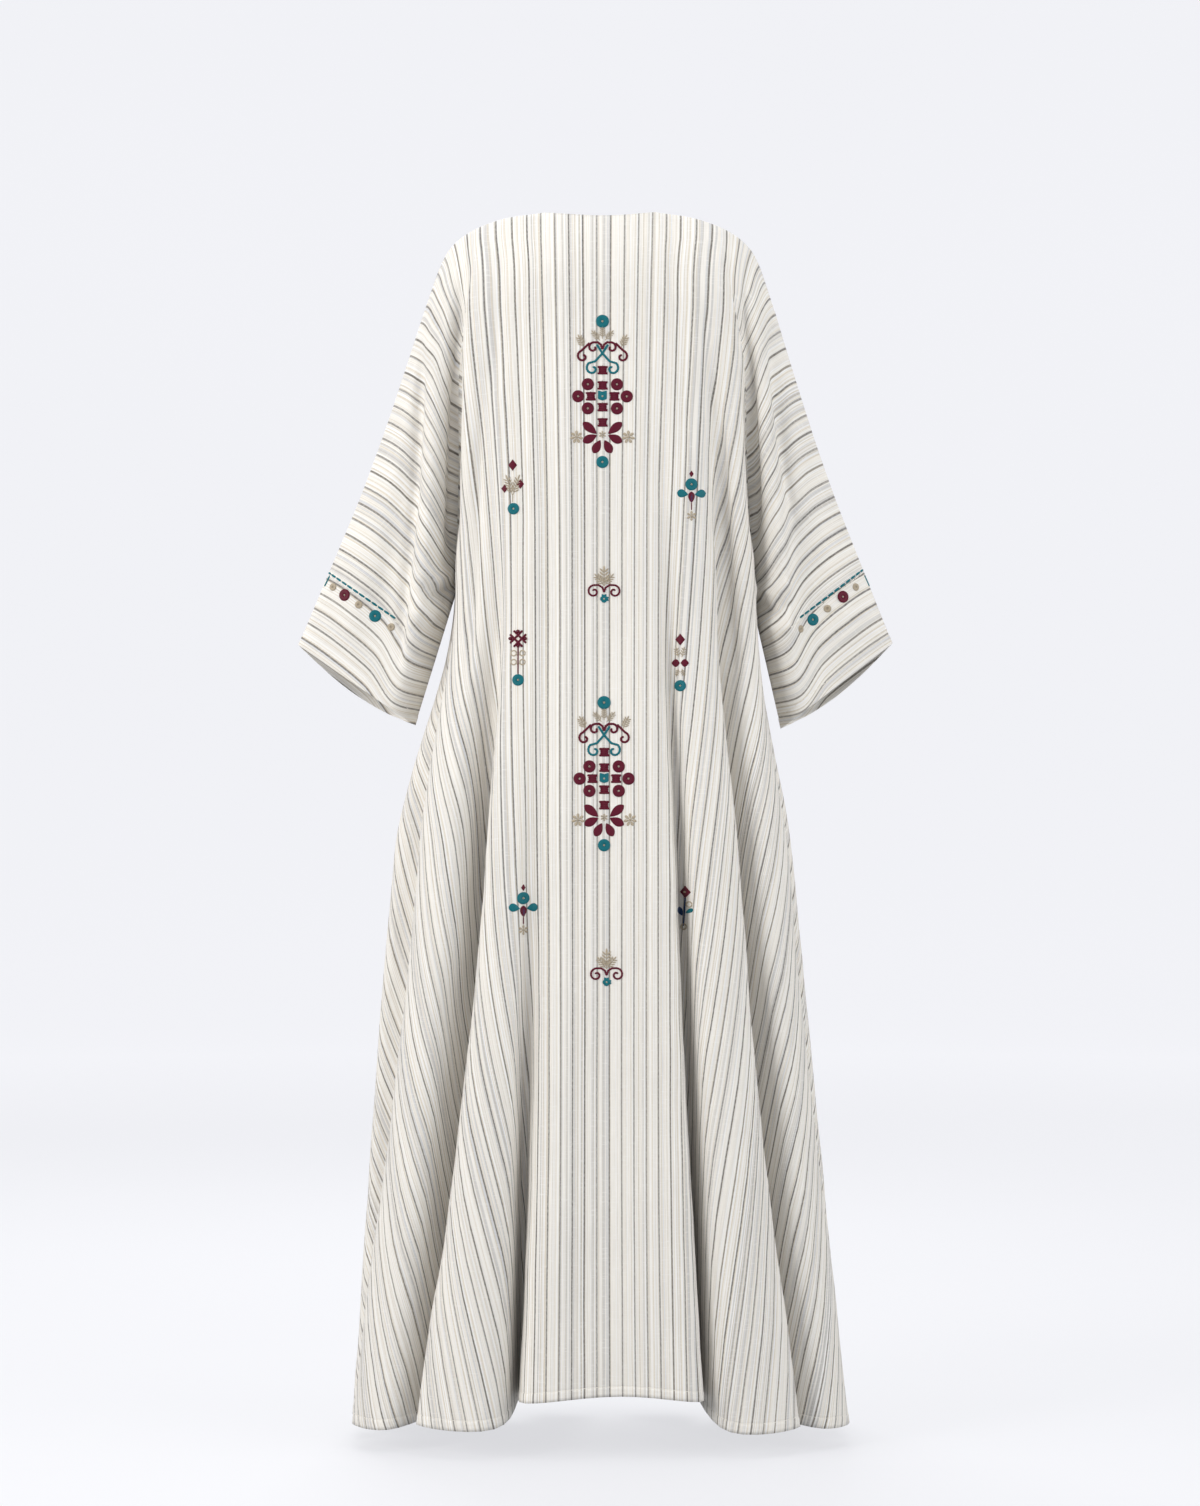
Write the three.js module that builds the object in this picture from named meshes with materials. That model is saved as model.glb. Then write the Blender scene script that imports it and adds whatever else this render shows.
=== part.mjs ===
// An open-front abaya of striped linen, shown as it hangs when worn, with nobody in it.
// It is cut like a bisht: the back and each front are one piece with their half of the
// sleeves, joined along the shoulder and sleeve top, under the sleeve and down the side.
// Millimetres, +Z up. The wearer faces -Y, so the wearer's left side is at +X.
// The origin is the middle of the neck opening, level with the two neck points of the shoulders.
import * as THREE from 'three';

const CLOTH = 1.6;          // wall thickness of the cloth
const SEAM_GAP = 0.3;       // gap between two pieces along a seam
const SHARPEST = 0.65;      // limits the extra depth of the wall's inner points in sharp folds
const ROUNDNESS = 2.4;      // exponent of the super-ellipse that the body's sections start from
const FULLNESS = 1.25;      // how round the folds are, against 1 for a plain curve through them
const DEG = Math.PI / 180;

const CLOSE = 1e-6;         // how close to a seam's plane a point is counted as on it
const SHORTEST = 1e-4;      // shortest step that a curve is worked out for

// Neck opening: half its width, and how far each piece's edge reaches out and drops in the middle.
// start = degrees at which the cloth leaves the edge there, against 0 at the shoulder.
const NECK = { half: 75, start: 38 };
const BACK_NECK = { reach: 62, drop: 10, power: 2 };
const FRONT_NECK = { reach: 82, drop: 85, power: 1.2 };

const FOLD_EDGE_AT_TOP = 6; // half the width of a fold where its lines start

// Steps of the mesh
const STEPS_BETWEEN_FOLDS = 3;
const OVER_SHOULDER_ROWS = 4;

// Sections of the body. half = half width to the wearer's left and right, back and front = depth.
const BODY = [
  { z: -130, left: 222, right: 224, back: 100, front: 104 },   // shoulder
  { z: -300, left: 196, right: 202, back: 116, front: 128 },   // chest
  { z: -484, left: 183, right: 196, back: 122, front: 130 },   // underarm
  { z: -800, left: 248, right: 234, back: 152, front: 150 },   // thigh
  { z: -1490, left: 300, right: 298, back: 205, front: 198 },   // hem
];
const LEVELS = BODY.map((section) => section.z);
const [SHOULDER, , UNDERARM, THIGH, HEM] = LEVELS;
const RIGHT_UNDERARM_DROP = 26;   // the right underarm hangs this much lower than the left

// Folds of the back, from the wearer's left side seam to the right one. at = degrees round the
// section, out = distance off it and wide = degrees from edge to edge, at the five levels of
// BODY; top = x where the fold's line starts at the neck or shoulder; hem = height of its hem.
const BACK_FOLDS = [
  { at: [44, 18, 0, 0, 0], out: [0, -10, 0, 8, 8], top: 150, hem: -1509 },   // left seam
  { at: [46, 22, 4, 8, 5.5], out: [0, -9, -1, 7, 8], top: 146, hem: -1509 },   // left seam fold
  { at: [48, 27, 9, 20, 12], out: [0, -4, -4, -30, -52], top: 142, hem: -1503 },   // left tuck
  { at: [53, 36, 28, 42, 27], out: [0, 4, 7, 16, 18], top: 128, hem: -1510,   // left side fold
    wide: [4, 10, 16, 16, 21] },
  { at: [59, 48, 48, 55, 42.5], out: [0, -1, -8, -42, -66], top: 108, hem: -1494 },   // left valley
  { at: [66, 61, 61, 66, 58.5], out: [0, 1, 3, 8, 14], top: 86, hem: -1500,   // left fold
    wide: [8, 10, 10, 9, 22] },
  { at: [74, 72, 72, 74, 72.5], out: [0, 0, 0, -5, -80], top: 60, hem: -1470 },   // left recess
  { at: [82, 80, 79, 80, 76.5], out: [0, 0, 0, 1, 7], top: 38, hem: -1469 },   // centre fold left
  { at: [92, 93, 93, 93, 93], out: [0, 0, 0, 0, 0], top: -6, hem: -1461 },   // centre back
  { at: [101, 104, 107, 107, 109.5], out: [0, 0, 2, 4, 7], top: -42, hem: -1468 },   // centre fold right
  { at: [108, 109, 112, 112, 113], out: [0, -1, -8, -24, -80], top: -62, hem: -1470 },   // right recess
  { at: [116, 119, 125, 123, 128], out: [0, 1, 3, 9, 14], top: -84, hem: -1505,   // right fold
    wide: [8, 12, 16, 16, 22] },
  { at: [123, 133, 141, 137, 143], out: [0, -9, -26, -40, -74], top: -108, hem: -1499 },   // right valley
  { at: [128, 143, 157, 151, 157], out: [0, 4, 8, 14, 18], top: -128, hem: -1511,   // right side fold
    wide: [4, 9, 12, 16, 18] },
  { at: [132, 153, 171, 168, 170], out: [0, -4, -5, -28, -52], top: -142, hem: -1504 },   // right tuck
  { at: [134, 158, 176, 174, 175], out: [0, -9, -1, 5, 8], top: -146, hem: -1508 },   // right seam fold
  { at: [136, 162, 180, 180, 180], out: [0, -10, 0, 6, 8], top: -150, hem: -1508 },   // right seam
];

// Folds of the two fronts, from the side seam to the front edge; at = degrees from that side.
const LEFT_FRONT_FOLDS = [
  { at: [44, 18, 0, 0, 0], out: [0, -10, 0, 8, 8], top: 150, hem: -1509 },   // seam
  { at: [46, 22, 4, 7, 6.5], out: [0, -9, -1, 7, 8], top: 146, hem: -1509 },   // seam fold
  { at: [48, 28, 9, 16, 14], out: [0, -4, -4, -26, -50], top: 142, hem: -1503 },   // tuck
  { at: [53, 38, 27, 31, 29], out: [0, 3, 6, 13, 17], top: 128, hem: -1508,   // side fold
    wide: [4, 10, 14, 15, 19] },
  { at: [59, 51, 45, 46, 44], out: [0, 0, -10, -38, -76], top: 106, hem: -1499 },   // valley
  { at: [66, 61, 57, 57, 57], out: [0, 2, 3, 7, 13], top: 84, hem: -1502,   // fold
    wide: [8, 9, 10, 9, 14] },
  { at: [74, 72, 69, 69, 70], out: [0, 0, -4, -20, -64], top: 58, hem: -1487 },   // recess
  { at: [81, 80, 77, 77, 77], out: [0, 0, 0, 2, 7], top: 34, hem: -1488 },   // inner fold
];
const RIGHT_FRONT_FOLDS = [
  { at: [44, 18, 0, 0, 0], out: [0, -10, 0, 6, 8], top: 150, hem: -1508 },   // seam
  { at: [46, 22, 4, 6, 5.5], out: [0, -9, -1, 5, 8], top: 146, hem: -1508 },   // seam fold
  { at: [48, 28, 9, 14, 13], out: [0, -4, -4, -24, -48], top: 142, hem: -1502 },   // tuck
  { at: [53, 38, 26, 28, 26], out: [0, 3, 5, 12, 17], top: 128, hem: -1507,   // side fold
    wide: [4, 10, 13, 14, 17] },
  { at: [59, 52, 43, 42, 40], out: [0, 0, -12, -40, -72], top: 106, hem: -1498 },   // valley
  { at: [66, 62, 55, 54, 53], out: [0, 2, 3, 7, 13], top: 84, hem: -1501,   // fold
    wide: [8, 9, 11, 11, 15] },
  { at: [74, 73, 69, 67, 66], out: [0, 0, -3, -22, -68], top: 58, hem: -1486 },   // recess
  { at: [81, 80, 77, 75.5, 74], out: [0, 0, 0, 2, 7], top: 34, hem: -1487 },   // inner fold
];
const FRONT_EDGE = { halfGap: [3, 3, 4, 10, 20], out: [0, 0, 0, 0, 3], top: 3, hem: -1484 };

// The seam over the shoulder and down the top of the sleeve, to the cuff. x is for the wearer's
// left; the right follows it at RIGHT_SEAM_SHARE of the width past the shoulder tip.
const TOP_SEAM = [
  { z: 0, x: 75 }, { z: -5, x: 111 }, { z: -15, x: 145 }, { z: -28, x: 170 }, { z: -45, x: 189 },
  { z: -62, x: 199 }, { z: -102, x: 214 }, { z: -190, x: 243 }, { z: -265, x: 268 }, { z: -355, x: 301 },
  { z: -456, x: 343 }, { z: -544, x: 380 },
];
const SHOULDER_TIP = { x: 199, z: -62 };
const RIGHT_SEAM_SHARE = 0.94;

// Folds of a sleeve, from its top seam to the underarm. across = share of the way, and back and
// front = depth, at the levels shoulder, chest, underarm and cuff; top = x where the line starts.
const SLEEVE_FOLDS = [
  { across: [0.06, 0.25, 0.29, 0.36], back: [23, 33, 27, 21],   // top plane
    front: [24, 34, 30, 24], top: 192 },
  { across: [0.21, 0.50, 0.60, 0.68], back: [41, 41, 36, 30],   // step
    front: [43, 50, 44, 32], top: 183 },
  { across: [0.54, 0.73, 0.78, 0.87], back: [60, 62, 57, 30],   // arm roll
    front: [62, 60, 52, 26], top: 167 },
];
const CUFF = { outer: { x: 380, z: -544 }, inner: { x: 233, z: -645 }, frontSag: 14 };
const RIGHT_CUFF = { outer: { x: 369, z: -542 }, inner: { x: 228, z: -649 }, frontSag: 14 };

// Rows of the mesh
const UPPER_ROWS = [-130, -178, -232, -288, -344, -398, -448, -484];
const SKIRT_ROWS = [-484, -535, -600, -670, -745, -820, -900, -985, -1070, -1155, -1240, -1325,
  -1410, -1490];
const CUFF_ROWS = 5;
const FORK = { rise: 8, lean: 1.5 };   // where inside and above a sleeve's fork the wall's inner point lies
const UNDERARM_ROUND = 0.5;   // how round the fold under a sleeve is, from 0 for a sharp edge to 1

// A smooth curve value = f(x) through a table, with no overshoot. xs may rise or fall.
function through(xs, ys, x) {
  const falling = xs[0] > xs[xs.length - 1];
  const X = falling ? xs.map((v) => -v) : xs;
  const at = Math.min(Math.max(falling ? -x : x, X[0]), X[X.length - 1]);
  const last = X.length - 1;
  const rise = X.slice(1).map((v, i) => (ys[i + 1] - ys[i]) / (v - X[i]));
  const slope = X.map((_, i) => {
    if (i === 0) return rise[0];
    if (i === last) return rise[last - 1];
    const [before, after] = [rise[i - 1], rise[i]];
    return before * after <= 0 ? 0 : (2 * before * after) / (before + after);
  });
  const i = Math.min(X.findIndex((v, k) => k < last && at <= X[k + 1]), last - 1);
  const width = X[i + 1] - X[i];
  const t = (at - X[i]) / width;
  const [t2, t3] = [t * t, t * t * t];
  return (2 * t3 - 3 * t2 + 1) * ys[i] + (t3 - 2 * t2 + t) * width * slope[i]
    + (3 * t2 - 2 * t3) * ys[i + 1] + (t3 - t2) * width * slope[i + 1];
}

// Points of a centripetal Catmull-Rom curve through `knots`, `steps` to each interval.
// `before` and `after` are the points that the curve would come from and go on to.
function curveThrough(knots, before, after, steps) {
  const all = [before, ...knots, after];
  const points = [];
  for (let i = 1; i < all.length - 2; i += 1) {
    const [p0, p1, p2, p3] = all.slice(i - 1, i + 3);
    const d0 = Math.sqrt(Math.max(p0.distanceTo(p1), SHORTEST));
    const d1 = Math.sqrt(Math.max(p1.distanceTo(p2), SHORTEST));
    const d2 = Math.sqrt(Math.max(p2.distanceTo(p3), SHORTEST));
    for (let k = i === 1 ? 0 : 1; k <= steps; k += 1) {
      const t = k / steps;
      const point = new THREE.Vector3();
      for (const axis of ['x', 'y', 'z']) {
        const [a, b, c, d] = [p0[axis], p1[axis], p2[axis], p3[axis]];
        const leave = FULLNESS * ((b - a) / d0 - (c - a) / (d0 + d1) + (c - b) / d1) * d1;
        const arrive = FULLNESS * ((c - b) / d1 - (d - b) / (d1 + d2) + (d - c) / d2) * d1;
        point[axis] = (2 * t ** 3 - 3 * t ** 2 + 1) * b + (t ** 3 - 2 * t ** 2 + t) * leave
          + (3 * t ** 2 - 2 * t ** 3) * c + (t ** 3 - t ** 2) * arrive;
      }
      points.push(point);
    }
  }
  return points;
}

const beyond = (end, next) => end.clone().multiplyScalar(2).sub(next);
const mirrored = (end, next) => new THREE.Vector3(next.x, 2 * end.y - next.y, next.z);

function bodySize(key, z) {
  return through(LEVELS, BODY.map((section) => section[key]), z);
}

// A point of the body's section: facing is 1 for the back and -1 for the front, and degrees
// run from the wearer's left side (0) to the right (180).
function bodyPoint(degrees, out, z, facing) {
  const [c, s] = [Math.cos(degrees * DEG), Math.max(Math.sin(degrees * DEG), 0)];
  const half = bodySize(c >= 0 ? 'left' : 'right', z);
  const depth = bodySize(facing > 0 ? 'back' : 'front', z);
  const [x, y] = [Math.abs(c) ** (2 / ROUNDNESS), s ** (2 / ROUNDNESS)];
  const normal = new THREE.Vector2(x ** (ROUNDNESS - 1) / half, y ** (ROUNDNESS - 1) / depth).normalize();
  return new THREE.Vector3(
    Math.sign(c) * (half * x + out * normal.x),
    facing * Math.max(depth * y + out * normal.y, SEAM_GAP / 2),
    z,
  );
}

// Height of a fold's line at a nominal row: the right side drops towards its underarm, and
// below the thigh the rows stretch to each fold's own hem.
function rowHeight(row, degrees, hem) {
  if (row < THIGH) return THIGH + ((row - THIGH) / (HEM - THIGH)) * (hem - THIGH);
  const drop = through([SHOULDER, UNDERARM, THIGH], [0, RIGHT_UNDERARM_DROP, 0], row);
  return row - drop * (1 - Math.cos(degrees * DEG)) / 2;
}

// The knots of a fold in one row: one on a seam or in a valley, two on a fold with edges.
function foldKnots(fold, row, facing, side) {
  const middle = through(LEVELS, fold.at, row);
  const half = fold.wide ? through(LEVELS, fold.wide, row) / 2 : 0;
  return (fold.wide ? [middle - half, middle + half] : [middle]).map((own) => {
    const degrees = side > 0 ? own : 180 - own;
    const point = bodyPoint(degrees, through(LEVELS, fold.out, row), row, facing);
    point.z = rowHeight(row, degrees, fold.hem);
    return point;
  });
}

// Where those knots' lines start on the neck edge or the shoulder seam.
function foldTops(fold, side) {
  if (!fold.wide) return [fold.top * side];
  return [fold.top + FOLD_EDGE_AT_TOP, fold.top - FOLD_EDGE_AT_TOP].map((x) => x * side);
}

function frontEdgePoint(row, side) {
  const depth = bodySize('front', row) + through(LEVELS, FRONT_EDGE.out, row);
  const x = side * through(LEVELS, FRONT_EDGE.halfGap, row);
  return new THREE.Vector3(x, -depth, rowHeight(row, 90, FRONT_EDGE.hem));
}

// The seam line over the shoulder and along the sleeve's top, by height or by width.
function seamX(z, side) {
  const x = through(TOP_SEAM.map((p) => p.z), TOP_SEAM.map((p) => p.x), z);
  if (side > 0 || x < SHOULDER_TIP.x) return side * x;
  return -(SHOULDER_TIP.x + (x - SHOULDER_TIP.x) * RIGHT_SEAM_SHARE);
}
function shoulderZ(x) {
  return through(TOP_SEAM.map((p) => p.x), TOP_SEAM.map((p) => p.z), Math.abs(x));
}

// Where a line that starts at x begins: on the neck edge or on the shoulder seam.
function topPoint(x, facing) {
  const gap = SEAM_GAP / 2;
  if (Math.abs(x) >= NECK.half) return new THREE.Vector3(x, facing * gap, shoulderZ(x));
  const round = Math.sqrt(1 - (x / NECK.half) ** 2);
  const { reach, drop, power } = facing > 0 ? BACK_NECK : FRONT_NECK;
  return new THREE.Vector3(x, facing * Math.max(reach * round, gap), -drop * round ** power);
}

// One line of the cloth from its top point over the shoulder to the first section.
function overShoulder(topX, foot, facing) {
  const start = topPoint(topX, facing);
  const flatness = Math.sqrt(Math.max(0, 1 - (topX / NECK.half) ** 2));
  const first = NECK.start * flatness * DEG;
  const line = [];
  for (let k = 0; k < OVER_SHOULDER_ROWS; k += 1) {
    const angle = first + (Math.PI / 2 - first) * (k / OVER_SHOULDER_ROWS);
    const outward = (Math.sin(angle) - Math.sin(first)) / (1 - Math.sin(first));
    const down = (Math.cos(first) - Math.cos(angle)) / Math.cos(first);
    line.push(new THREE.Vector3(
      start.x + (foot.x - start.x) * down,
      start.y + (foot.y - start.y) * outward,
      start.z + (foot.z - start.z) * down,
    ));
  }
  return line;
}

// Knots of a sleeve's half, from the top seam to the underarm line point `inner`.
function sleeveKnots(level, outer, inner, facing, sag) {
  const depthKey = facing > 0 ? 'back' : 'front';
  const knots = SLEEVE_FOLDS.map((fold) => {
    const across = through([0, 1, 2, 3], fold.across, level);
    const depth = through([0, 1, 2, 3], fold[depthKey], level);
    const point = outer.clone().lerp(inner, across);
    point.y = facing * depth;
    point.z -= sag * Math.sin(Math.PI * across);
    return point;
  });
  return [outer, ...knots, inner];
}

// How far along the sleeve's levels (shoulder 0, chest 1, underarm 2) a row is.
const sleeveLevel = (row) => through(LEVELS.slice(0, 3), [0, 1, 2], row);

// One panel as blocks of points: `body` rows run from the top to the hem between two seams or
// from a seam to the front edge; each sleeve's rows run from the top to the cuff.
function panel(folds, facing, sides, side) {
  const gap = facing * SEAM_GAP / 2;
  const open = sides.length === 1;
  const tops = folds.flatMap((fold) => foldTops(fold, open ? side : 1));
  if (open) tops.push(FRONT_EDGE.top * side);

  const bodyRow = (row) => {
    const knots = folds.flatMap((fold) => foldKnots(fold, row, facing, side));
    if (open) knots.push(frontEdgePoint(row, side));
    const last = knots.length - 1;
    const hangs = row <= UNDERARM;
    if (hangs) {
      knots[0].y = gap;
      if (!open) knots[last].y = gap;
    }
    const [a, b] = [knots[0], knots[last]];
    const before = hangs ? mirrored(a, knots[1]) : beyond(a, knots[1]);
    const after = hangs && !open ? mirrored(b, knots[last - 1]) : beyond(b, knots[last - 1]);
    return curveThrough(knots, before, after, STEPS_BETWEEN_FOLDS);
  };
  const spread = (values) => values.slice(1).flatMap((value, i) => {
    const step = (value - values[i]) / STEPS_BETWEEN_FOLDS;
    return Array.from({ length: STEPS_BETWEEN_FOLDS }, (_, k) => values[i] + step * (k + 1));
  });
  const columnTops = [tops[0], ...spread(tops)];

  const upper = UPPER_ROWS.map(bodyRow);
  const overTop = Array.from({ length: OVER_SHOULDER_ROWS }, () => []);
  columnTops.forEach((x, column) => {
    overShoulder(x, upper[0][column], facing).forEach((point, k) => overTop[k].push(point));
  });
  const body = [...overTop, ...upper, ...SKIRT_ROWS.slice(1).map(bodyRow)];

  const sleeves = sides.map((sleeveSide) => {
    const underarmColumn = open || sleeveSide > 0 ? 0 : columnTops.length - 1;
    const cuff = sleeveSide > 0 ? CUFF : RIGHT_CUFF;
    const sleeveTops = [SHOULDER_TIP.x, ...SLEEVE_FOLDS.map((fold) => fold.top), Math.abs(tops[0])];
    const row = (level, outer, inner, sag, closing) => {
      const knots = sleeveKnots(level, outer, inner, facing, sag);
      const next = knots[knots.length - 2];
      const end = beyond(inner, next).lerp(mirrored(inner, next), closing);
      return curveThrough(knots, mirrored(outer, knots[1]), end, STEPS_BETWEEN_FOLDS);
    };
    const upperSleeve = UPPER_ROWS.map((z, i) => {
      const inner = upper[i][underarmColumn];
      const outer = new THREE.Vector3(seamX(inner.z, sleeveSide), gap, inner.z);
      return row(sleeveLevel(z), outer, inner, 0, UNDERARM_ROUND * Math.max(0, sleeveLevel(z) - 1));
    });
    const top = Array.from({ length: OVER_SHOULDER_ROWS }, () => []);
    [sleeveTops[0], ...spread(sleeveTops)].forEach((x, column) => {
      overShoulder(x * sleeveSide, upperSleeve[0][column], facing).forEach((point, k) => {
        if (column === 0) point.x = seamX(point.z, sleeveSide);
        top[k].push(point);
      });
    });
    const start = upperSleeve[upperSleeve.length - 1];
    const [startOuter, startInner] = [start[0], start[start.length - 1]];
    const lower = Array.from({ length: CUFF_ROWS }, (_, i) => {
      const share = (i + 1) / CUFF_ROWS;
      const outer = new THREE.Vector3(0, gap, startOuter.z + (cuff.outer.z - startOuter.z) * share);
      outer.x = seamX(outer.z, sleeveSide);
      const inner = new THREE.Vector3(
        startInner.x + (sleeveSide * cuff.inner.x - startInner.x) * share,
        gap,
        startInner.z + (cuff.inner.z - startInner.z) * share,
      );
      return row(2 + share, outer, inner, facing < 0 ? cuff.frontSag * share : 0, UNDERARM_ROUND);
    });
    return { rows: [...top, ...upperSleeve, ...lower], fork: startInner, side: sleeveSide };
  });
  return { body, sleeves, facing };
}

// Joins a panel's blocks into one sheet of quads and gives it thickness. Points on a seam keep
// to the plane of that seam, so that the two pieces meet edge to edge. Where a sleeve forks
// from the body, the wall's inner point lies above the outer one.
function thicken({ body, sleeves, facing }, name, colour) {
  const vertices = [];
  const keys = new Map();
  const indexOf = (point) => {
    const key = `${point.x.toFixed(4)},${point.y.toFixed(4)},${point.z.toFixed(4)}`;
    if (!keys.has(key)) {
      keys.set(key, vertices.length);
      vertices.push(point);
    }
    return keys.get(key);
  };
  const quads = [];
  const addGrid = (rows, flip) => {
    for (let r = 0; r + 1 < rows.length; r += 1) {
      for (let c = 0; c + 1 < rows[r].length; c += 1) {
        const quad = [rows[r][c], rows[r][c + 1], rows[r + 1][c + 1], rows[r + 1][c]].map(indexOf);
        quads.push(flip ? quad.reverse() : quad);
      }
    }
  };
  const widestRow = body[body.length - 1];
  const leftFirst = widestRow[0].x > widestRow[widestRow.length - 1].x;
  addGrid(body, leftFirst === facing > 0);
  sleeves.forEach(({ rows, side }) => addGrid(rows, (side > 0) === facing > 0));

  const triangles = quads.flatMap(([a, b, c, d]) => {
    const short = vertices[a].distanceTo(vertices[c]) <= vertices[b].distanceTo(vertices[d]);
    return short ? [[a, b, c], [a, c, d]] : [[a, b, d], [b, c, d]];
  });
  const normals = vertices.map(() => new THREE.Vector3());
  const turns = vertices.map(() => 0);
  triangles.forEach((corners) => {
    const [a, b, c] = corners.map((i) => vertices[i]);
    const normal = new THREE.Triangle(a, b, c).getNormal(new THREE.Vector3());
    corners.forEach((i, k) => {
      const toNext = vertices[corners[(k + 1) % 3]].clone().sub(vertices[i]);
      const toLast = vertices[corners[(k + 2) % 3]].clone().sub(vertices[i]);
      const turn = toNext.angleTo(toLast);
      normals[i].addScaledVector(normal, turn);
      turns[i] += turn;
    });
  });
  const inner = vertices.map((point, i) => {
    const normal = normals[i];
    const evenness = normal.length() / turns[i];
    const onSeam = Math.abs(point.y) <= SEAM_GAP / 2 + CLOSE;
    if (onSeam) normal.y = 0;
    const depth = onSeam ? CLOTH : CLOTH / Math.max(evenness, SHARPEST);
    return point.clone().addScaledVector(normal.normalize(), -depth);
  });
  sleeves.forEach(({ fork, side }) => {
    inner[indexOf(fork)].set(fork.x - side * FORK.lean, fork.y, fork.z + FORK.rise);
  });

  const count = vertices.length;
  const faces = [];
  const rim = new Map();
  triangles.forEach(([a, b, c]) => {
    faces.push(a, b, c, count + c, count + b, count + a);
    [[a, b], [b, c], [c, a]].forEach(([from, to]) => {
      if (rim.has(`${to},${from}`)) rim.delete(`${to},${from}`);
      else rim.set(`${from},${to}`, [from, to]);
    });
  });
  rim.forEach(([from, to]) => {
    faces.push(to, from, count + from, to, count + from, count + to);
  });
  const geometry = new THREE.BufferGeometry();
  const positions = [...vertices, ...inner].flatMap((p) => [p.x, p.y, p.z]);
  geometry.setAttribute('position', new THREE.Float32BufferAttribute(positions, 3));
  geometry.setIndex(faces);
  const material = new THREE.MeshStandardMaterial({ color: colour, roughness: 0.9, metalness: 0 });
  const mesh = new THREE.Mesh(geometry, material);
  mesh.name = name;
  return mesh;
}

const LINEN = 0xe9e4d8;
const abaya = new THREE.Group();
abaya.name = 'abaya';
abaya.add(thicken(panel(BACK_FOLDS, 1, [1, -1], 1), 'back', LINEN));
abaya.add(thicken(panel(LEFT_FRONT_FOLDS, -1, [1], 1), 'front_left', LINEN));
abaya.add(thicken(panel(RIGHT_FRONT_FOLDS, -1, [-1], -1), 'front_right', LINEN));

export default abaya;
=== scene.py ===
# The looks of an open-front abaya of striped linen, around its CAD solids. The cloth is a fine
# shell on the form of each panel, worked out from the same sizes, in millimetres, as the solids.
# +X is the wearer's left, the wearer faces -Y, and the photograph was taken from +Y.
import math

import bmesh
import bpy
import numpy as np
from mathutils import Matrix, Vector, noise
from mathutils.bvhtree import BVHTree


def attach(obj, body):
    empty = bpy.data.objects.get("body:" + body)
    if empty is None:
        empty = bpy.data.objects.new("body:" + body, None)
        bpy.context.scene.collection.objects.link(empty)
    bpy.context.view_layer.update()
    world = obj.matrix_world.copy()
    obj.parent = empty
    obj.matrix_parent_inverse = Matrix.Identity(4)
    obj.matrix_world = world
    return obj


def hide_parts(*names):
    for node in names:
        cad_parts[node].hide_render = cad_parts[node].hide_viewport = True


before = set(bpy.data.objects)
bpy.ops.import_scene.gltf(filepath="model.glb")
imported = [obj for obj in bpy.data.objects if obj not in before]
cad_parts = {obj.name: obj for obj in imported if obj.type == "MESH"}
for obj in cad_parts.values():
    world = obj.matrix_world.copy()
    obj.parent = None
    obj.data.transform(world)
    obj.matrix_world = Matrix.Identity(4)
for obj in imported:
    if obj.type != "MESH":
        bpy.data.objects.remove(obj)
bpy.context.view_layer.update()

MM = 0.001
SHELL = 1.1             # thickness of the cloth
SEAM_GAP = 0.3
ROUNDNESS = 2.4         # exponent of the super-ellipse that the body's sections start from
FULLNESS = 1.25         # how round the folds are, against 1 for a plain curve through them
FOLD_EDGE_AT_TOP = 6
NECK_HALF, NECK_START = 75, 38
BACK_NECK = {"reach": 62, "drop": 10, "power": 2.0}
FRONT_NECK = {"reach": 82, "drop": 85, "power": 1.2}

# Sections of the body at five heights: half widths to the wearer's left and right, and depths
LEVELS = [-130, -300, -484, -800, -1490]
SHOULDER, _, UNDERARM, THIGH, HEM = LEVELS
BODY = {
    "left": [222, 196, 183, 248, 300],
    "right": [224, 202, 196, 234, 298],
    "back": [100, 116, 122, 152, 205],
    "front": [104, 128, 130, 150, 198],
}
RIGHT_UNDERARM_DROP = 26

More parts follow.
